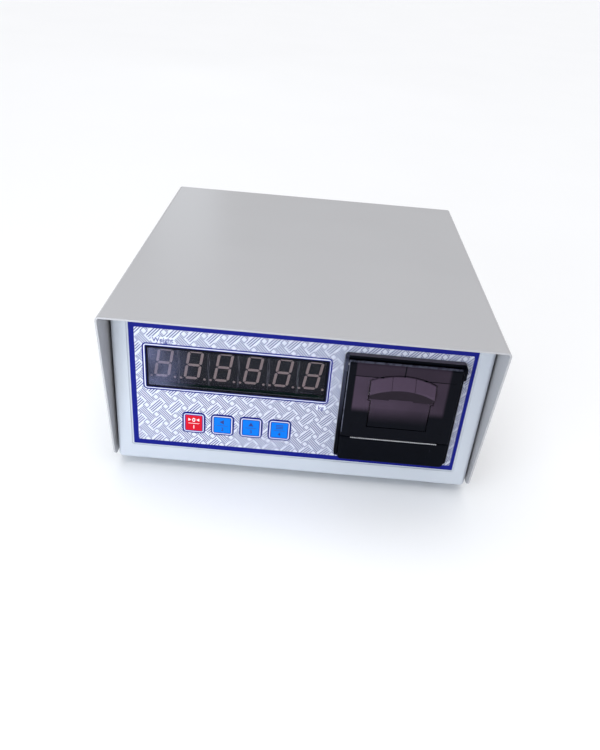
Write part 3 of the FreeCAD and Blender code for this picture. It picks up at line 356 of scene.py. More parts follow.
def powder_coat(name, tint, roughness, looks, gloss_drift):
    """Baked powder paint on sheet steel: orange peel, faint drift and specks."""
    finish = Finish(name)
    place = finish.place()
    peel = finish.noise(place, looks.peel / MM, 2.0, 0.45)
    drift = finish.noise(place, 70.0, 2.0)
    specks = finish.fade(finish.noise(place, 0.9, 1.0), 0.74, 0.8)
    body = finish.mix(drift, scaled(tint, 0.975), scaled(tint, 1.025))
    body = finish.mix(specks * 0.12, body, scaled(tint, 0.6))
    sheet = finish.noise(place, 46.0, 1.0)
    height = peel * (looks.peel_depth / MM) + sheet * 0.05
    normal = finish.bump(height, 1.0)
    return finish.give(base_color=body, roughness=drift * gloss_drift + roughness,
                       normal=normal)


def plated(name, tint, roughness, grain=(0.05, 1.0, 1.0), width=0.4):
    """Bare or plated metal with a drawn grain."""
    finish = Finish(name)
    drawn = finish.noise(finish.place(grain), width, 3.0, 0.6)
    cloud = finish.noise(finish.place(), 6.0, 3.0)
    body = finish.mix(cloud, scaled(tint, 0.82), scaled(tint, 1.12))
    body = finish.mix(drawn * 0.35, body, scaled(tint, 0.6))
    gloss = drawn * 0.16 + cloud * 0.08 + (roughness - 0.1)
    return finish.give(base_color=body, metallic=1.0, roughness=gloss,
                       normal=finish.bump(drawn, 0.006))


def weave(finish, x, z, looks):
    """Ink of the label's pattern: small squares, with bundles of lines woven between them."""
    # Sizes from here on are shares of a cell; a cell runs from one square to the next.
    rise_step, fall_step = 0.15, 0.14
    square_reach = 0.155
    across = (x - WEAVE_START[0]) / (looks.across / MM)
    upward = (z - WEAVE_START[1]) / (looks.upward / MM)
    u = (across + upward) / 2
    v = (across - upward) / 2
    odd = (math.floor(u) + math.floor(v)) % 2
    cell_u = u % 1 - 0.5
    cell_v = v % 1 - 0.5
    half = looks.line / MM / (2 * math.sqrt(2) * looks.across / MM)
    soft = half * 0.5
    near_square = abs((u + 0.5) % 1 - 0.5).most(abs((v + 0.5) % 1 - 0.5))
    from_rise = abs((cell_v / rise_step + 0.5) % 1 - 0.5) * rise_step
    rising = finish.below(from_rise, half, soft)
    rising = rising * (abs(cell_v) < rise_step + 2 * half) * odd.most(abs(cell_u) > 0.4)
    from_fall = abs((cell_u / fall_step) % 1 - 0.5) * fall_step
    falling = finish.below(from_fall, half, soft)
    falling = falling * (abs(cell_u) < 1.5 * fall_step + 2 * half)
    falling = falling * (1 - odd).most(abs(cell_v) > 0.36)
    clear = near_square > 0.22
    square = finish.band(near_square, square_reach, square_reach + 1.7 * half, soft)
    return (rising * 0.95).most(falling * 0.9) * clear + square * 0.85


def label_print(looks):
    """Printed polyester label: border, woven ground, and outlines round the openings."""
    finish = Finish("label_print")
    place = finish.place()
    x, _, z = finish.axes(place)
    low, high = on_panel("front_label")
    ink = weave(finish, x, z, looks)
    # Painted shade: the ground darkens from left to right, for the light falling from the
    # left.
    face = finish.mix(finish.fade(x, low.x, high.x), looks.ground, scaled(looks.ground, 0.8))
    face = finish.mix(ink, face, looks.line_ink)
    left, right = low.x + BORDER["left"], high.x - BORDER["right"]
    foot, head = low.z + BORDER["foot"], high.z - BORDER["head"]
    inner = finish.rounded(x, z, ((left + right) / 2, (foot + head) / 2),
                           (right - left, head - foot), 1.2)
    line = looks.outline / MM
    window = middle_of("display_window")
    round_window = finish.rounded(x, z, (window.x - 0.2, window.z + 0.05), WINDOW_OUTLINE,
                                  3.0)
    pitch = (middle_of(KEYS[3]).x - middle_of(KEYS[0]).x) / 3
    keys_middle = (middle_of(KEYS[0]).x + middle_of(KEYS[3]).x) / 2
    along = (x - keys_middle) % pitch - pitch / 2
    in_row = abs(x - keys_middle) < 2 * pitch
    round_key = finish.rounded(along, z, (0.0, middle_of(KEYS[0]).z), KEY_OUTLINE, 3.2)
    pale = finish.below(round_window, -0.5 * line).most(
        finish.below(round_key, -0.5 * line) * in_row)
    for (over, up), size in ((CAPTION, CAPTION_PATCH), (UNIT, UNIT_PATCH)):
        patch = finish.rounded(x, z, (window.x + over, window.z + up), size, 1.0)
        pale = pale.most(finish.below(patch, 0.0))
    face = finish.mix(pale, face, scaled(looks.ground, 1.04))
    opening = on_panel("display_window")
    wide, tall = opening[1].x - opening[0].x, opening[1].z - opening[0].z
    from_window = finish.rounded(x, z, (window.x, window.z), (wide, tall), 0.6)
    lines = finish.band(round_window, -line, 0.0).most(
        finish.band(round_key, -line, 0.0) * in_row).most(from_window < 0.55)
    blue = lines.most(finish.above(inner, 0.0))
    face = finish.mix(blue, face, looks.border_ink)
    film = finish.noise(place, 0.35, 2.0)
    waves = finish.noise(place, 24.0, 2.0)
    return finish.give(base_color=face, roughness=film * 0.08 + 0.32,
                       specular_ior_level=0.12,
                       normal=finish.bump(film * 0.004 + waves * 0.12, 1.0))


def window_smoke():
    """Smoked window: dark film that lets the figures show, with faint dust."""
    finish = Finish("window_smoke")
    place = finish.place()
    x, _, z = finish.axes(place)
    dust_and_lit_top = finish.fade(finish.noise(place, 0.6, 1.0), 0.7, 0.8)
    # Paler and bluer towards the left end of the window, in soft clouds.
    left_paling = finish.fade(x, *LEFT_PALING) * finish.noise(place, 14.0, 2.0)
    body = finish.mix(left_paling, srgb(18, 19, 30), srgb(150, 154, 196))
    body = finish.mix(dust_and_lit_top * 0.3, body, srgb(150, 150, 160))
    low, high = on_panel("display_window")
    centre = middle_of("display_window")
    edge = finish.rounded(x, z, (centre.x, centre.z), (high.x - low.x, high.z - low.z), 0.6)
    margin = finish.fade(edge, -1.9, -1.3)
    body = finish.mix(margin, body, srgb(8, 9, 22))
    smear = finish.noise(finish.place((1.0, 1.0, 0.3)), 5.0, 3.0)
    cover = finish.clamp(margin * 0.74 + left_paling * 0.16 + 0.24)
    return finish.give(base_color=body, roughness=smear * 0.16 + 0.1, alpha=cover,
                       specular_ior_level=0.07,
                       normal=finish.bump(finish.noise(place, 30.0, 1.0), 0.1))


def digit_black(looks):
    """Faces of the figure modules, with glue smears along the joints between them."""
    finish = Finish("digit_black")
    place = finish.place()
    x, _, z = finish.axes(place)
    first, last = middle_of(DIGITS[0]).x, middle_of(DIGITS[-1]).x
    pitch = (last - first) / 5
    joint = abs((x - first + pitch) % pitch - pitch / 2)
    streak = finish.noise(finish.place((1.0, 1.0, 0.12)), 0.9, 3.0)
    smear = finish.fade(joint, 1.2, 0.2) * finish.fade(streak, 0.38, 0.66)
    foot = finish.band(z, *FOOT_SMEAR, 0.3) * finish.fade(streak, 0.4, 0.75)
    body = finish.mix(smear.most(foot) * 0.85, looks.face, srgb(140, 136, 150))
    fine = finish.noise(place, 0.5, 3.0)
    return finish.give(base_color=body, roughness=fine * 0.1 + 0.5,
                       normal=finish.bump(fine, 0.01))


def key_top(name, tint, frame_ink, looks):
    """Printed key: coloured square with a dark edge inside a pale ring."""
    finish = Finish(name)
    place = finish.place()
    x, _, z = finish.axes(place)
    first = middle_of(KEYS[0])
    pitch = (middle_of(KEYS[3]).x - first.x) / 3
    along = (x - first.x + pitch / 2) % pitch - pitch / 2
    size = (looks.square_width / MM, looks.square_height / MM)
    edge = finish.rounded(along, z, (0.0, first.z), size, 0.6)
    print_grain = finish.noise(place, 0.8, 2.0)
    body = finish.mix(print_grain, scaled(tint, 0.95), scaled(tint, 1.05))
    for limit, tint_beyond in ((0.0, frame_ink), (0.55, looks.ring), (1.22, frame_ink)):
        body = finish.mix(finish.above(edge, limit), body, tint_beyond)
    dome = finish.fade(edge, 1.3, -0.6)
    return finish.give(base_color=body, roughness=print_grain * 0.06 + 0.28,
                       coat_weight=0.05, coat_roughness=0.1, specular_ior_level=0.1,
                       normal=finish.bump(dome, 0.12, 0.8))


def door_smoke(looks):
    """Dark smoked plastic with painted light: a painted glow of the lit paper bay behind it,
    dimmer to the right and above the seam, painted highlights along the left and top edges,
    and a painted lit crest and shaded undercut on the lever's grip.
    """
    finish = Finish("door_smoke")
    place = finish.place()
    x, y, z = finish.axes(place)
    low, high = on_panel("printer_door")
    middle = (low.x + high.x) / 2
    tab = finish.band(x, middle - TAB_REACH, middle + TAB_REACH)
    # Painted light: the lit paper bay behind the door, glowing through the smoke.
    bay = finish.fade(z, 61.0, 67.0).most(finish.fade(z, 53.0, 70.0) * tab)
    bay = bay * finish.fade(x, low.x + 4.6, low.x + 5.8)
    bay = bay * finish.fade(x, high.x - 6.4, high.x - 8.8)
    above = finish.fade(z, SEAM_Z, SEAM_Z + 0.7)
    cloud = finish.noise(place, 26.0, 2.0)
    # Painted shade: the glow dims towards the right, and to half above the seam.
    sheen = finish.mix(finish.fade(x, low.x, high.x), looks.sheen, scaled(looks.sheen, 0.62))
    sheen = finish.mix(above, sheen, scaled(looks.sheen, 0.5))
    upright_seam = finish.band(x, middle - 0.4, middle + 0.4) * above
    seams = finish.band(z, SEAM_Z, SEAM_Z + 0.6).most(upright_seam)
    share = bay * (cloud * 0.5 + 0.5) * (1 - seams)
    body = finish.mix(finish.clamp(share), looks.smoke, sheen)
    _, _, upward = finish.axes(finish.node("NewGeometry", output=1))
    # Painted highlights along the door's left edge and its up-facing top edge, broken up by
    # noise.
    highlight_breakup = finish.noise(finish.place((1.0, 1.0, 0.3)), 2.4, 3.0)
    side_highlight = finish.below(x, low.x + 0.55, 0.2) * (z > 44.0)
    top_highlight = finish.fade(upward, 0.6, 0.9) * (z > high.z - 1.5)
    edges = side_highlight.most(top_highlight) * finish.fade(highlight_breakup, 0.2, 0.6)
    body = finish.mix(edges, body, srgb(92, 94, 108))
    lever = middle_of("latch_lever")
    from_arc = ((x - lever.x) * (x - lever.x) + (z - ARC_Z) * (z - ARC_Z)) ** 0.5
    proud = y < low.y - 0.2
    # Painted light on the lever's grip: a lit crest outside the arc, then painted shade on the
    # undercut inside it.
    body = finish.mix(proud * finish.fade(from_arc, CREST_R - 0.1, CREST_R + 0.4), body,
                      scaled(looks.sheen, 0.95))
    body = finish.mix(proud * finish.fade(from_arc, CREST_R - 0.1, CREST_R - 0.4), body,
                      scaled(looks.sheen, 0.24))
    marks = finish.noise(finish.place((1.0, 1.0, 0.4)), 3.0, 4.0)
    return finish.give(base_color=body, roughness=marks * 0.14 + 0.1,
                       specular_ior_level=0.06,
                       normal=finish.bump(finish.noise(place, 20.0, 1.0), 0.08))


def printer_black(looks):
    """Grained black plastic, greyer along the left rim and on up-facing faces at the top as
    painted light, with faint scratch marks.
    """
    finish, _ = grained("printer_black", 0.4, 0.35, 0.012, 12.0)
    place = finish.place()
    x, y, z = finish.axes(place)
    low, high = on_panel("printer_frame")
    _, _, upward = finish.axes(finish.node("NewGeometry", output=1))
    grain = finish.noise(place, 0.9, 3.0)
    cloud = finish.noise(place, 9.0, 3.0)
    # Painted light on the up-facing faces at the top of the frame.
    dust_and_lit_top = finish.fade(upward, 0.5, 0.95) * (y < 0.5) * (z > high.z - 1.0)
    # Painted light along the frame's left rim, for the light from the left, fading downward.
    rim = finish.below(x, low.x + 2.4, 0.4) * (y < 0.5) * finish.fade(z, 40.0, 84.0)
    scratch = finish.noise(finish.place((1.0, 1.0, 0.12)), 1.6, 3.0)
    marks = finish.fade(scratch, 0.66, 0.74) * (y < 0.5) * 0.12
    body = finish.mix(cloud, scaled(looks.plastic, 0.8), scaled(looks.plastic, 1.3))
    body = finish.mix(dust_and_lit_top * (grain * 0.6 + 0.5), body, srgb(104, 98, 108))
    body = finish.mix(rim * (grain * 0.4 + 0.7), body, srgb(62, 64, 80))
    body = finish.mix(marks, body, srgb(120, 122, 140))
    return finish.give(base_color=body, specular_ior_level=0.045)


def paper_white():
    """Thermal paper, with the windings showing on the ends of the roll."""
    finish = Finish("paper_white")
    place = finish.place()
    _, y, z = finish.axes(place)
    axis = middle_of("paper_roll")
    out = ((y - axis.y) * (y - axis.y) + (z - axis.z) * (z - axis.z)) ** 0.5
    turn = abs((out / 0.42) % 1 - 0.5) * 2
    fibre = finish.noise(place, 0.7, 4.0, 0.6)
    body = finish.mix(fibre, srgb(236, 236, 232), srgb(248, 248, 246))
    body = finish.mix(turn * 0.12, body, srgb(200, 200, 202))
    return finish.give(base_color=body, roughness=0.62,
                       normal=finish.bump(turn * 0.7 + fibre * 0.3, 0.03))


def core_card():
    """Spiral-wound card of the roll's core."""
    finish, _ = grained("core_card", 0.85, 0.6, 0.02, 6.0)
    spiral = finish.noise(finish.place((0.2, 1.0, 1.0)), 1.2, 4.0)
    return finish.give(base_color=finish.mix(spiral, srgb(146, 112, 78), srgb(182, 150, 112)))


def circuit_board():
    """Green lacquered board with copper tracks under the lacquer."""
    finish = Finish("board_green")
    place = finish.place()
    cells = finish.node("TexVoronoi", {"distance": "MANHATTAN", "feature": "F1"},
                        {"Vector": place, "Scale": 1 / 4.5})
    track = finish.band(abs((cells * 5) % 1 - 0.5), 0.0, 0.12, 0.05)
    lacquer = finish.noise(place, 30.0, 2.0)
    body = finish.mix(lacquer, srgb(18, 84, 52), srgb(26, 104, 64))
    body = finish.mix(track * 0.55, body, srgb(64, 140, 84))
    return finish.give(base_color=body, roughness=lacquer * 0.1 + 0.3,
                       normal=finish.bump(track, 0.03))


def stripes(name, tint, dark, axis, width, roughness, depth):
    """Ridges across one axis: windings, laminations or the cores of a flat cable."""
    finish = Finish(name)
    place = finish.place()
    along = finish.axes(place)[axis]
    ridge = 1 - abs((along / width) % 1 - 0.5) * 2
    rounded_ridge = 1 - (1 - ridge) * (1 - ridge)
    grain = finish.noise(place, 2.0, 3.0)
    # Painted shade: each ridge darkens down into the grooves beside it.
    body = finish.mix(rounded_ridge, dark, tint)
    body = finish.mix(grain * 0.3, body, scaled(tint, 0.7))
    return finish.give(base_color=body, roughness=grain * 0.12 + roughness,
                       normal=finish.bump(rounded_ridge, depth))


def ink(name, tint):
    """Screen-printed ink with a slightly uneven edge to its gloss."""
    return moulded(name, tint, 0.42, 0.3, 0.003, 0.04, 4.0)


def paint_nodes(slot_name, finish):
    """Gives a finish to every CAD node of one of the record's material slots."""
    rows = frame["record"]["subparts"]
    names = [row["node"] for row in rows if row["material_slot"] == slot_name]
    if not names:
        raise RuntimeError(f"the record has no node in slot {slot_name}")
    for name in names:
        node = frame["nodes"][name]
        if not node.material_slots:
            node.data.materials.append(finish.material)
        for slot in node.material_slots:
            slot.material = finish.material
    return finish.material


# ---------------------------------------------------------------- meshes
def piece(name, bm, material, body, sharp=35.0):
    """Makes a finished piece from a bmesh whose vertices are already in place."""
    mesh = bpy.data.meshes.new(name)
    bm.to_mesh(mesh)
    bm.free()
    mesh.shade_smooth()
    mesh.set_sharp_from_angle(angle=math.radians(sharp))
    mesh.materials.append(material)
    made = bpy.data.objects.new(name, mesh)
    bpy.context.scene.collection.objects.link(made)
    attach(made, body)
    return made


def stand_up(bm, place):
    """Turns flat artwork to face the front, and moves it from millimetres to its place."""
    turn = Matrix.Rotation(math.radians(90.0), 4, "X")
    move = Matrix.Translation(PANEL_FOOT + Vector(place) * MM)
    bmesh.ops.transform(bm, matrix=move @ Matrix.Scale(MM, 4) @ turn, verts=bm.verts)
    bmesh.ops.recalc_face_normals(bm, faces=bm.faces)


def flat_bar(bm, centre, size, thickness, mitre=0.0, lean=0.0):
    """Thin bar lying in the artwork, its corners cut off by the mitre."""
    made = bmesh.ops.create_cube(bm, size=1.0)["verts"]
    bmesh.ops.scale(bm, vec=(size[0], size[1], thickness), verts=made)
    if mitre:
        upright = {e for v in made for e in v.link_edges if is_upright(e)}
        made = bmesh.ops.bevel(bm, geom=list(upright), offset=mitre, segments=1, profile=0.5,
                               affect="EDGES", material=-1)["verts"]
        made = list({v for seed in made for f in seed.link_faces for v in f.verts})
    bmesh.ops.translate(bm, vec=(centre[0], centre[1], thickness / 2), verts=made)
    if lean:
        slope = Matrix.Identity(4)
        slope[0][1] = math.tan(lean)
        bmesh.ops.transform(bm, matrix=slope, verts=made)


def is_upright(edge):
    start, end = (v.co for v in edge.verts)
    return abs(start.z - end.z) > 1e-6


def flat_disc(bm, centre, radius, thickness, sides=32, turn=0.0, taper=1.0):
    """Disc or regular polygon lying in the artwork."""
    made = bmesh.ops.create_cone(bm, cap_ends=True, segments=sides, radius1=radius,
                                 radius2=radius * taper, depth=thickness)["verts"]
    bmesh.ops.rotate(bm, cent=(0, 0, 0), matrix=Matrix.Rotation(math.radians(turn), 3, "Z"),
                     verts=made)
    bmesh.ops.translate(bm, vec=(centre[0], centre[1], thickness / 2), verts=made)


def flat_text(bm, text, centre, height, boldness=0.02):
    """Characters lying in the artwork, made a mesh from Blender's own font."""
    curve = bpy.data.curves.new("lettering", "FONT")
    curve.body = text
    curve.size = height / CAPITAL_SHARE
    curve.extrude = INK_THICKNESS / 2
    curve.offset = height * boldness
    curve.align_x = "CENTER"
    holder = bpy.data.objects.new("lettering", curve)
    bpy.context.scene.collection.objects.link(holder)
    mesh = bpy.data.meshes.new_from_object(holder.evaluated_get(
        bpy.context.evaluated_depsgraph_get()))
    bpy.data.objects.remove(holder)
    bpy.data.curves.remove(curve)
    shift = Matrix.Translation((centre[0], centre[1] - height / 2, INK_THICKNESS / 2))
    mesh.transform(shift)
    bm.from_mesh(mesh)
    bpy.data.meshes.remove(mesh)
    bmesh.ops.remove_doubles(bm, verts=bm.verts, dist=1e-4)


# ---------------------------------------------------------------- operators
class TERMINAL_OT_stage(Operator):
    """Sets up the floor, the soft light and the camera"""

    bl_idname = "terminal.stage"
    bl_label = "Stage"

    def execute(self, context):
        looks = context.scene.terminal_stage
        self.floor(looks)
        self.lights(context, looks)
        self.camera(context)
        context.scene.view_settings.view_transform = "Standard"
        return {"FINISHED"}

    def floor(self, looks):
        bm = bmesh.new()
        bmesh.ops.create_grid(bm, x_segments=8, y_segments=8, size=12.0)
        mesh = bpy.data.meshes.new("floor")
        bm.to_mesh(mesh)
        bm.free()
        finish = moulded("floor_pale", looks.floor, 0.7, 2.0, 0.01, 0.01, 300.0)
        mesh.materials.append(finish.material)
        floor = bpy.data.objects.new("floor", mesh)
        bpy.context.scene.collection.objects.link(floor)

    def lights(self, context, looks):
        world = bpy.data.worlds.new("sky")
        world.use_nodes = True
        tree = world.node_tree
        background = tree.nodes["Background"]
        background.inputs["Color"].default_value = (0.95, 0.97, 1.0, 1.0)
        background.inputs["Strength"].default_value = looks.sky
        bright = tree.nodes.new("ShaderNodeBackground")
        bright.inputs["Color"].default_value = (0.96, 0.97, 0.98, 1.0)
        path = tree.nodes.new("ShaderNodeLightPath")
        mix = tree.nodes.new("ShaderNodeMixShader")
        tree.links.new(path.outputs["Is Camera Ray"], mix.inputs[0])
        tree.links.new(background.outputs[0], mix.inputs[1])
        tree.links.new(bright.outputs[0], mix.inputs[2])
        tree.links.new(mix.outputs[0], tree.nodes["World Output"].inputs["Surface"])
        context.scene.world = world
        above = self.lamp("overhead", "SUN", looks.overhead, (1.0, 0.995, 0.99),
                          (0.0, 0.0, 2.0), (0.0, 0.0, 0.0))
        above.data.angle = math.radians(75.0)
        self.panel_light("window_light", looks.window, (0.82, 0.91, 1.0),
                         (-0.34, -0.62, 0.22), (-0.08, -0.12, 0.06), (0.4, 0.5))
        self.panel_light("far_window", 0.22, (0.86, 0.93, 1.0),
                         (-0.42, 1.7, 0.62), (-0.08, 0.08, 0.12), (0.22, 0.5))

    def lamp(self, name, kind, power, tint, at, towards):
        data = bpy.data.lights.new(name, kind)
        data.energy = power
        data.color = tint
        lamp = bpy.data.objects.new(name, data)
        bpy.context.scene.collection.objects.link(lamp)
        lamp.location = at
        lamp.rotation_euler = (Vector(at) - Vector(towards)).to_track_quat("Z", "Y").to_euler()
        return lamp

    def panel_light(self, name, power, tint, at, towards, size):
        """Rectangular soft light, like a window."""
        data = self.lamp(name, "AREA", power, tint, at, towards).data
        data.shape = "RECTANGLE"
        data.size, data.size_y = size

    def camera(self, context):
        data = bpy.data.cameras.new("camera")
        data.lens = LENS
        data.clip_start = 0.01
        camera = bpy.data.objects.new("camera", data)
        context.scene.collection.objects.link(camera)
        camera.location = CAMERA_AT
        camera.rotation_euler = [math.radians(a) for a in CAMERA_TURN]
        context.scene.camera = camera


class TERMINAL_OT_case(Operator):
    """Paints the chassis, the cover, the screws and the feet"""

    bl_idname = "terminal.case"
    bl_label = "Case and cover"

    def execute(self, context):
        looks = context.scene.terminal_case
        paint_nodes("case_paint", powder_coat("case_paint", looks.body_paint, 0.3, looks, 0.1))
        paint_nodes("cover_paint", powder_coat("cover_paint", looks.cover_paint, 0.2, looks,
                                               0.08))
        paint_nodes("zinc_steel", plated("zinc_steel", (0.66, 0.67, 0.68), 0.34))
        paint_nodes("foot_rubber", moulded("foot_rubber", srgb(26, 26, 27), 0.75, 0.6, 0.03))
        return {"FINISHED"}


class TERMINAL_OT_label(Operator):
    """Prints the front label and its two marks"""

    bl_idname = "terminal.label"
    bl_label = "Front label"

    def execute(self, context):
        looks = context.scene.terminal_label
        paint_nodes("label_print", label_print(looks))
        mark_ink = ink("mark_ink", looks.border_ink)
        face = on_panel("front_label")[0].y
        window = middle_of("display_window")
        for name, text, height, (over, up) in (("unit_mark", "kg", 3.2, UNIT),
                                               ("weight_mark", "Weight", 3.4, CAPTION)):
            bm = bmesh.new()
            flat_text(bm, text, (0.0, 0.0), height, 0.022)
            stand_up(bm, (window.x + over, face, window.z + up))
            piece(name, bm, mark_ink.material, "base")
        return {"FINISHED"}


class TERMINAL_OT_display(Operator):
    """Makes the figures' segments and finishes the window and the modules"""

    bl_idname = "terminal.display"
    bl_label = "Display"

    def execute(self, context):
        looks = context.scene.terminal_display
        paint_nodes("window_smoke", window_smoke())
        paint_nodes("digit_black", digit_black(looks))
        segment = moulded("segment_mauve", looks.segment, 0.4, 0.3, 0.01, 0.08, 5.0)
        for number, node in enumerate(DIGITS, 1):
            piece(f"segments_{number}", self.figure(looks, node), segment.material, "base")
        return {"FINISHED"}

    def figure(self, looks, node):
        """Seven bars and two points, a little smaller than the recesses they fill."""
        bm = bmesh.new()
        width, height, bar = (s / MM for s in (looks.figure_width, looks.figure_height,
                                               looks.bar))
        across, rise, slack, deep = width - bar, (height - bar) / 2, 0.38, 0.26
        for level in (-1, 0, 1):
            flat_bar(bm, (0.0, level * rise), (across - 2 * slack, bar - 0.1), deep,
                     bar / 2 - 0.1, looks.slant)
        for level in (-0.5, 0.5):
            for side in (-1, 1):
                flat_bar(bm, (side * across / 2, level * rise), (bar - 0.1, rise - 2 * slack),
                         deep, bar / 2 - 0.1, looks.slant)
        low, high = on_panel(node)
        point_radius, point_rise, taper = 0.9, 0.475, 0.9
        for over in (-(high.x - low.x) / 2 + 1.25, width / 2 + 1.8):
            flat_disc(bm, (over, -height / 2 + point_rise), point_radius, deep, 24, 0.0, taper)
        centre = (low.x + high.x) / 2
        stand_up(bm, (centre, low.y + 0.3, FIGURE_Z))
        return bm


class TERMINAL_OT_keys(Operator):
    """Prints the keys and puts a symbol and a number on each"""

    bl_idname = "terminal.keys"
    bl_label = "Keys"

    def execute(self, context):
        looks = context.scene.terminal_keys
        navy = srgb(14, 26, 134)
        paint_nodes("key_red", key_top("key_red", looks.first, navy, looks))
        paint_nodes("key_blue", key_top("key_blue", looks.others, navy, looks))
        pale = ink("legend_pale", srgb(250, 236, 240))
        dark = ink("legend_navy", srgb(8, 42, 128))
        drawings = (self.zero, self.left, self.up, self.menu)
        for number, (node, body, draw) in enumerate(zip(KEYS, KEY_BODIES, drawings), 1):
            bm = bmesh.new()
            draw(bm)
            flat_bar(bm, (0.0, -0.35), (7.6, 0.35), INK_THICKNESS)
            flat_text(bm, str(number), (0.0, -3.2), 2.9)
            centre = middle_of(node)
            stand_up(bm, (centre.x, on_panel(node)[0].y, centre.z))
            made_of = pale if number == 1 else dark
            piece(f"legend_{number}", bm, made_of.material, body)
        return {"FINISHED"}

    def zero(self, bm):
        """A nought between two arrows."""
        flat_text(bm, "0", (0.0, 2.7), 3.2)
        flat_disc(bm, (-3.1, 2.7), 1.35, INK_THICKNESS, 3, -90.0)
        flat_disc(bm, (3.1, 2.7), 1.35, INK_THICKNESS, 3, 90.0)

    def left(self, bm):
        flat_disc(bm, (0.0, 2.7), 2.1, INK_THICKNESS, 3, 90.0)

    def up(self, bm):
        flat_disc(bm, (0.0, 2.4), 2.1, INK_THICKNESS, 3, 0.0)

    def menu(self, bm):
        """Three short bars."""
        for step in (-1, 0, 1):
            flat_bar(bm, (0.0, 2.8 + 1.3 * step), (5.0, 0.6), INK_THICKNESS)


class TERMINAL_OT_printer(Operator):
    """Finishes the printer's frame, door, lever, lower cover and tear bar"""

    bl_idname = "terminal.printer"
    bl_label = "Printer"

    def execute(self, context):
        looks = context.scene.terminal_printer
        paint_nodes("printer_black", printer_black(looks))
        paint_nodes("door_smoke", door_smoke(looks))
        paint_nodes("polished_steel", plated("polished_steel", (0.74, 0.74, 0.75), 0.22))
        return {"FINISHED"}


class TERMINAL_OT_paper_feed(Operator):
    """Finishes the paper, the roller and the gears, and threads the paper"""

    bl_idname = "terminal.paper_feed"
    bl_label = "Paper feed"

    def execute(self, context):
        looks = context.scene.terminal_printer
        paper = paper_white()
        paint_nodes("paper_white", paper)
        paint_nodes("core_card", core_card())
        paint_nodes("platen_rubber", moulded("platen_rubber", srgb(34, 33, 35), 0.68, 0.4,
                                             0.02))
        paint_nodes("gear_nylon", moulded("gear_nylon", srgb(228, 224, 212), 0.42, 0.8, 0.01))
        paint_nodes("pinion_brass", plated("pinion_brass", (0.78, 0.58, 0.28), 0.3))
        paint_nodes("spindle_plastic", moulded("spindle_plastic", srgb(52, 54, 60), 0.45))
        self.web(looks, paper)
        return {"FINISHED"}

    def web(self, looks, paper):
        """Paper from the front of the roll, down behind the roller and out below it."""
        roll_low, roll_high = on_panel("paper_roll")
        roller = middle_of("platen_roller")
        roller_low, roller_high = on_panel("platen_roller")
        off_roller, off_roll, inset, turn = 0.12, 0.05, 0.5, math.radians(-88.0)
        reach = (roller_high.y - roller_low.y) / 2 + off_roller
        roll = (roll_low + roll_high) / 2
        radius = (roll_high.z - roll_low.z) / 2 + off_roll
        bm = bmesh.new()
        x0, x1 = roll_low.x + inset, roll_high.x - inset
        start = Vector((0.0, roller.y + reach, roller.z + 2.0))
        ends = [bm.verts.new((x, start.y, start.z)) for x in (x0, x1)]
        edge = bm.edges.new(ends)
        up = self.tangent(roll, radius, start)
        self.pull(bm, edge, up - start)
        down = self.pull(bm, edge, Vector((0.0, 0.0, -2.0)))
        turned = bmesh.ops.spin(bm, geom=[down], cent=(0.0, roller.y, roller.z),
                                axis=(1.0, 0.0, 0.0), angle=turn, steps=16)
        last = next(g for g in turned["geom_last"] if isinstance(g, bmesh.types.BMEdge))
        self.pull(bm, last, Vector((0.0, -5.6, -1.5)))
        bmesh.ops.remove_doubles(bm, verts=bm.verts, dist=1e-4)
        bmesh.ops.recalc_face_normals(bm, faces=bm.faces)
        bmesh.ops.solidify(bm, geom=bm.faces[:], thickness=looks.paper_thickness / MM)
        bmesh.ops.recalc_face_normals(bm, faces=bm.faces)
        move = Matrix.Translation(PANEL_FOOT) @ Matrix.Scale(MM, 4)
        bmesh.ops.transform(bm, matrix=move, verts=bm.verts)
        piece("paper_web", bm, paper.material, "base")

    def pull(self, bm, edge, step):
        made = bmesh.ops.extrude_edge_only(bm, edges=[edge])["geom"]
        verts = [g for g in made if isinstance(g, bmesh.types.BMVert)]
        bmesh.ops.translate(bm, vec=step, verts=verts)
        return next(e for e in made if isinstance(e, bmesh.types.BMEdge))

    def tangent(self, centre, radius, start):
        """Where a line from the start point touches the front of the roll."""
        back = Vector((0.0, start.y - centre.y, start.z - centre.z))
        towards = math.atan2(back.z, back.y) - math.acos(radius / back.length)
        return Vector((0.0, centre.y + radius * math.cos(towards),
                       centre.z + radius * math.sin(towards)))


class TERMINAL_OT_rear(Operator):
    """Finishes the sockets, the switch and the fuse holder"""

    bl_idname = "terminal.rear"
    bl_label = "Rear fittings"

    def execute(self, context):
        paint_nodes("switch_black", moulded("switch_black", srgb(24, 25, 27), 0.4, 0.4, 0.01))
        paint_nodes("rocker_red", moulded("rocker_red", srgb(196, 22, 26), 0.3, 0.5, 0.006))
        paint_nodes("connector_nickel", plated("connector_nickel", (0.7, 0.69, 0.66), 0.28,
                                               (1.0, 0.08, 1.0)))
        return {"FINISHED"}


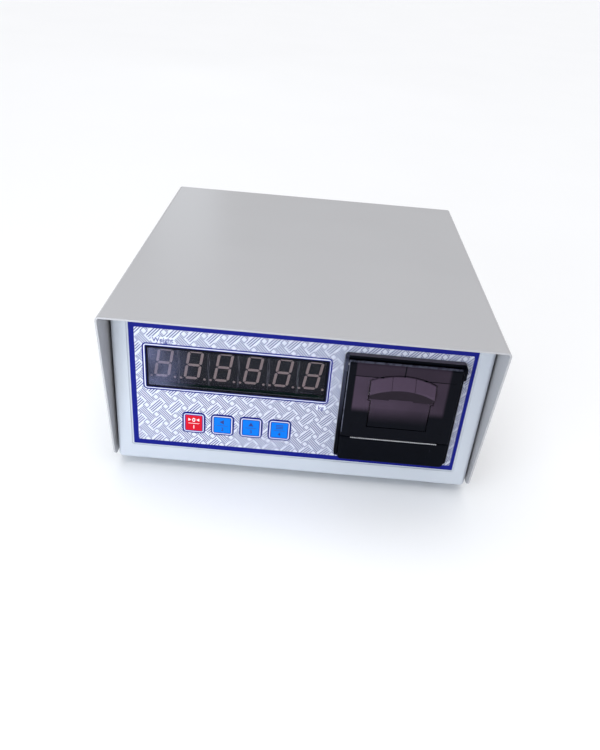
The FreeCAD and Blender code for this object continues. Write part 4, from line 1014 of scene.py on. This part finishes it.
class TERMINAL_OT_inside(Operator):
    """Finishes the boards, the battery, the transformer and the ribbon"""

    bl_idname = "terminal.inside"
    bl_label = "Inside"

    def execute(self, context):
        paint_nodes("board_green", circuit_board())
        paint_nodes("battery_case", moulded("battery_case", srgb(38, 40, 46), 0.5, 0.7, 0.02))
        paint_nodes("lamination_steel", stripes("lamination_steel", srgb(120, 120, 124),
                                                srgb(56, 56, 60), 1, 0.5, 0.45, 0.05))
        paint_nodes("coil_winding", stripes("coil_winding", srgb(196, 116, 50),
                                            srgb(96, 48, 20), 2, 0.55, 0.3, 0.12))
        paint_nodes("ribbon_grey", stripes("ribbon_grey", srgb(176, 178, 182),
                                           srgb(120, 122, 128), 0, 1.27, 0.5, 0.25))
        return {"FINISHED"}


OPERATORS = (TERMINAL_OT_stage, TERMINAL_OT_case, TERMINAL_OT_label, TERMINAL_OT_display,
             TERMINAL_OT_keys, TERMINAL_OT_printer, TERMINAL_OT_paper_feed, TERMINAL_OT_rear,
             TERMINAL_OT_inside)


class TERMINAL_PT_sidebar(Panel):
    """Lists the pieces, and the sizes and colours that may be changed"""

    bl_label = "Terminal"
    bl_idname = "TERMINAL_PT_sidebar"
    bl_space_type = "VIEW_3D"
    bl_region_type = "UI"
    bl_category = "Terminal"

    def draw(self, context):
        for operator in OPERATORS:
            self.layout.operator(operator.bl_idname)
        for name, group in GROUPS.items():
            box = self.layout.box()
            for key in group.__annotations__:
                box.prop(getattr(context.scene, name), key)


def register():
    for group in GROUPS.values():
        bpy.utils.register_class(group)
    for operator in OPERATORS:
        bpy.utils.register_class(operator)
    bpy.utils.register_class(TERMINAL_PT_sidebar)
    for name, group in GROUPS.items():
        setattr(bpy.types.Scene, name, PointerProperty(type=group))


def unregister():
    for name in GROUPS:
        delattr(bpy.types.Scene, name)
    bpy.utils.unregister_class(TERMINAL_PT_sidebar)
    for operator in reversed(OPERATORS):
        bpy.utils.unregister_class(operator)
    for group in reversed(GROUPS.values()):
        bpy.utils.unregister_class(group)


def main():
    register()
    bpy.ops.terminal.stage()
    bpy.ops.terminal.case()
    bpy.ops.terminal.label()
    bpy.ops.terminal.display()
    bpy.ops.terminal.keys()
    bpy.ops.terminal.printer()
    bpy.ops.terminal.paper_feed()
    bpy.ops.terminal.rear()
    bpy.ops.terminal.inside()


if __name__ == "__main__":
    main()
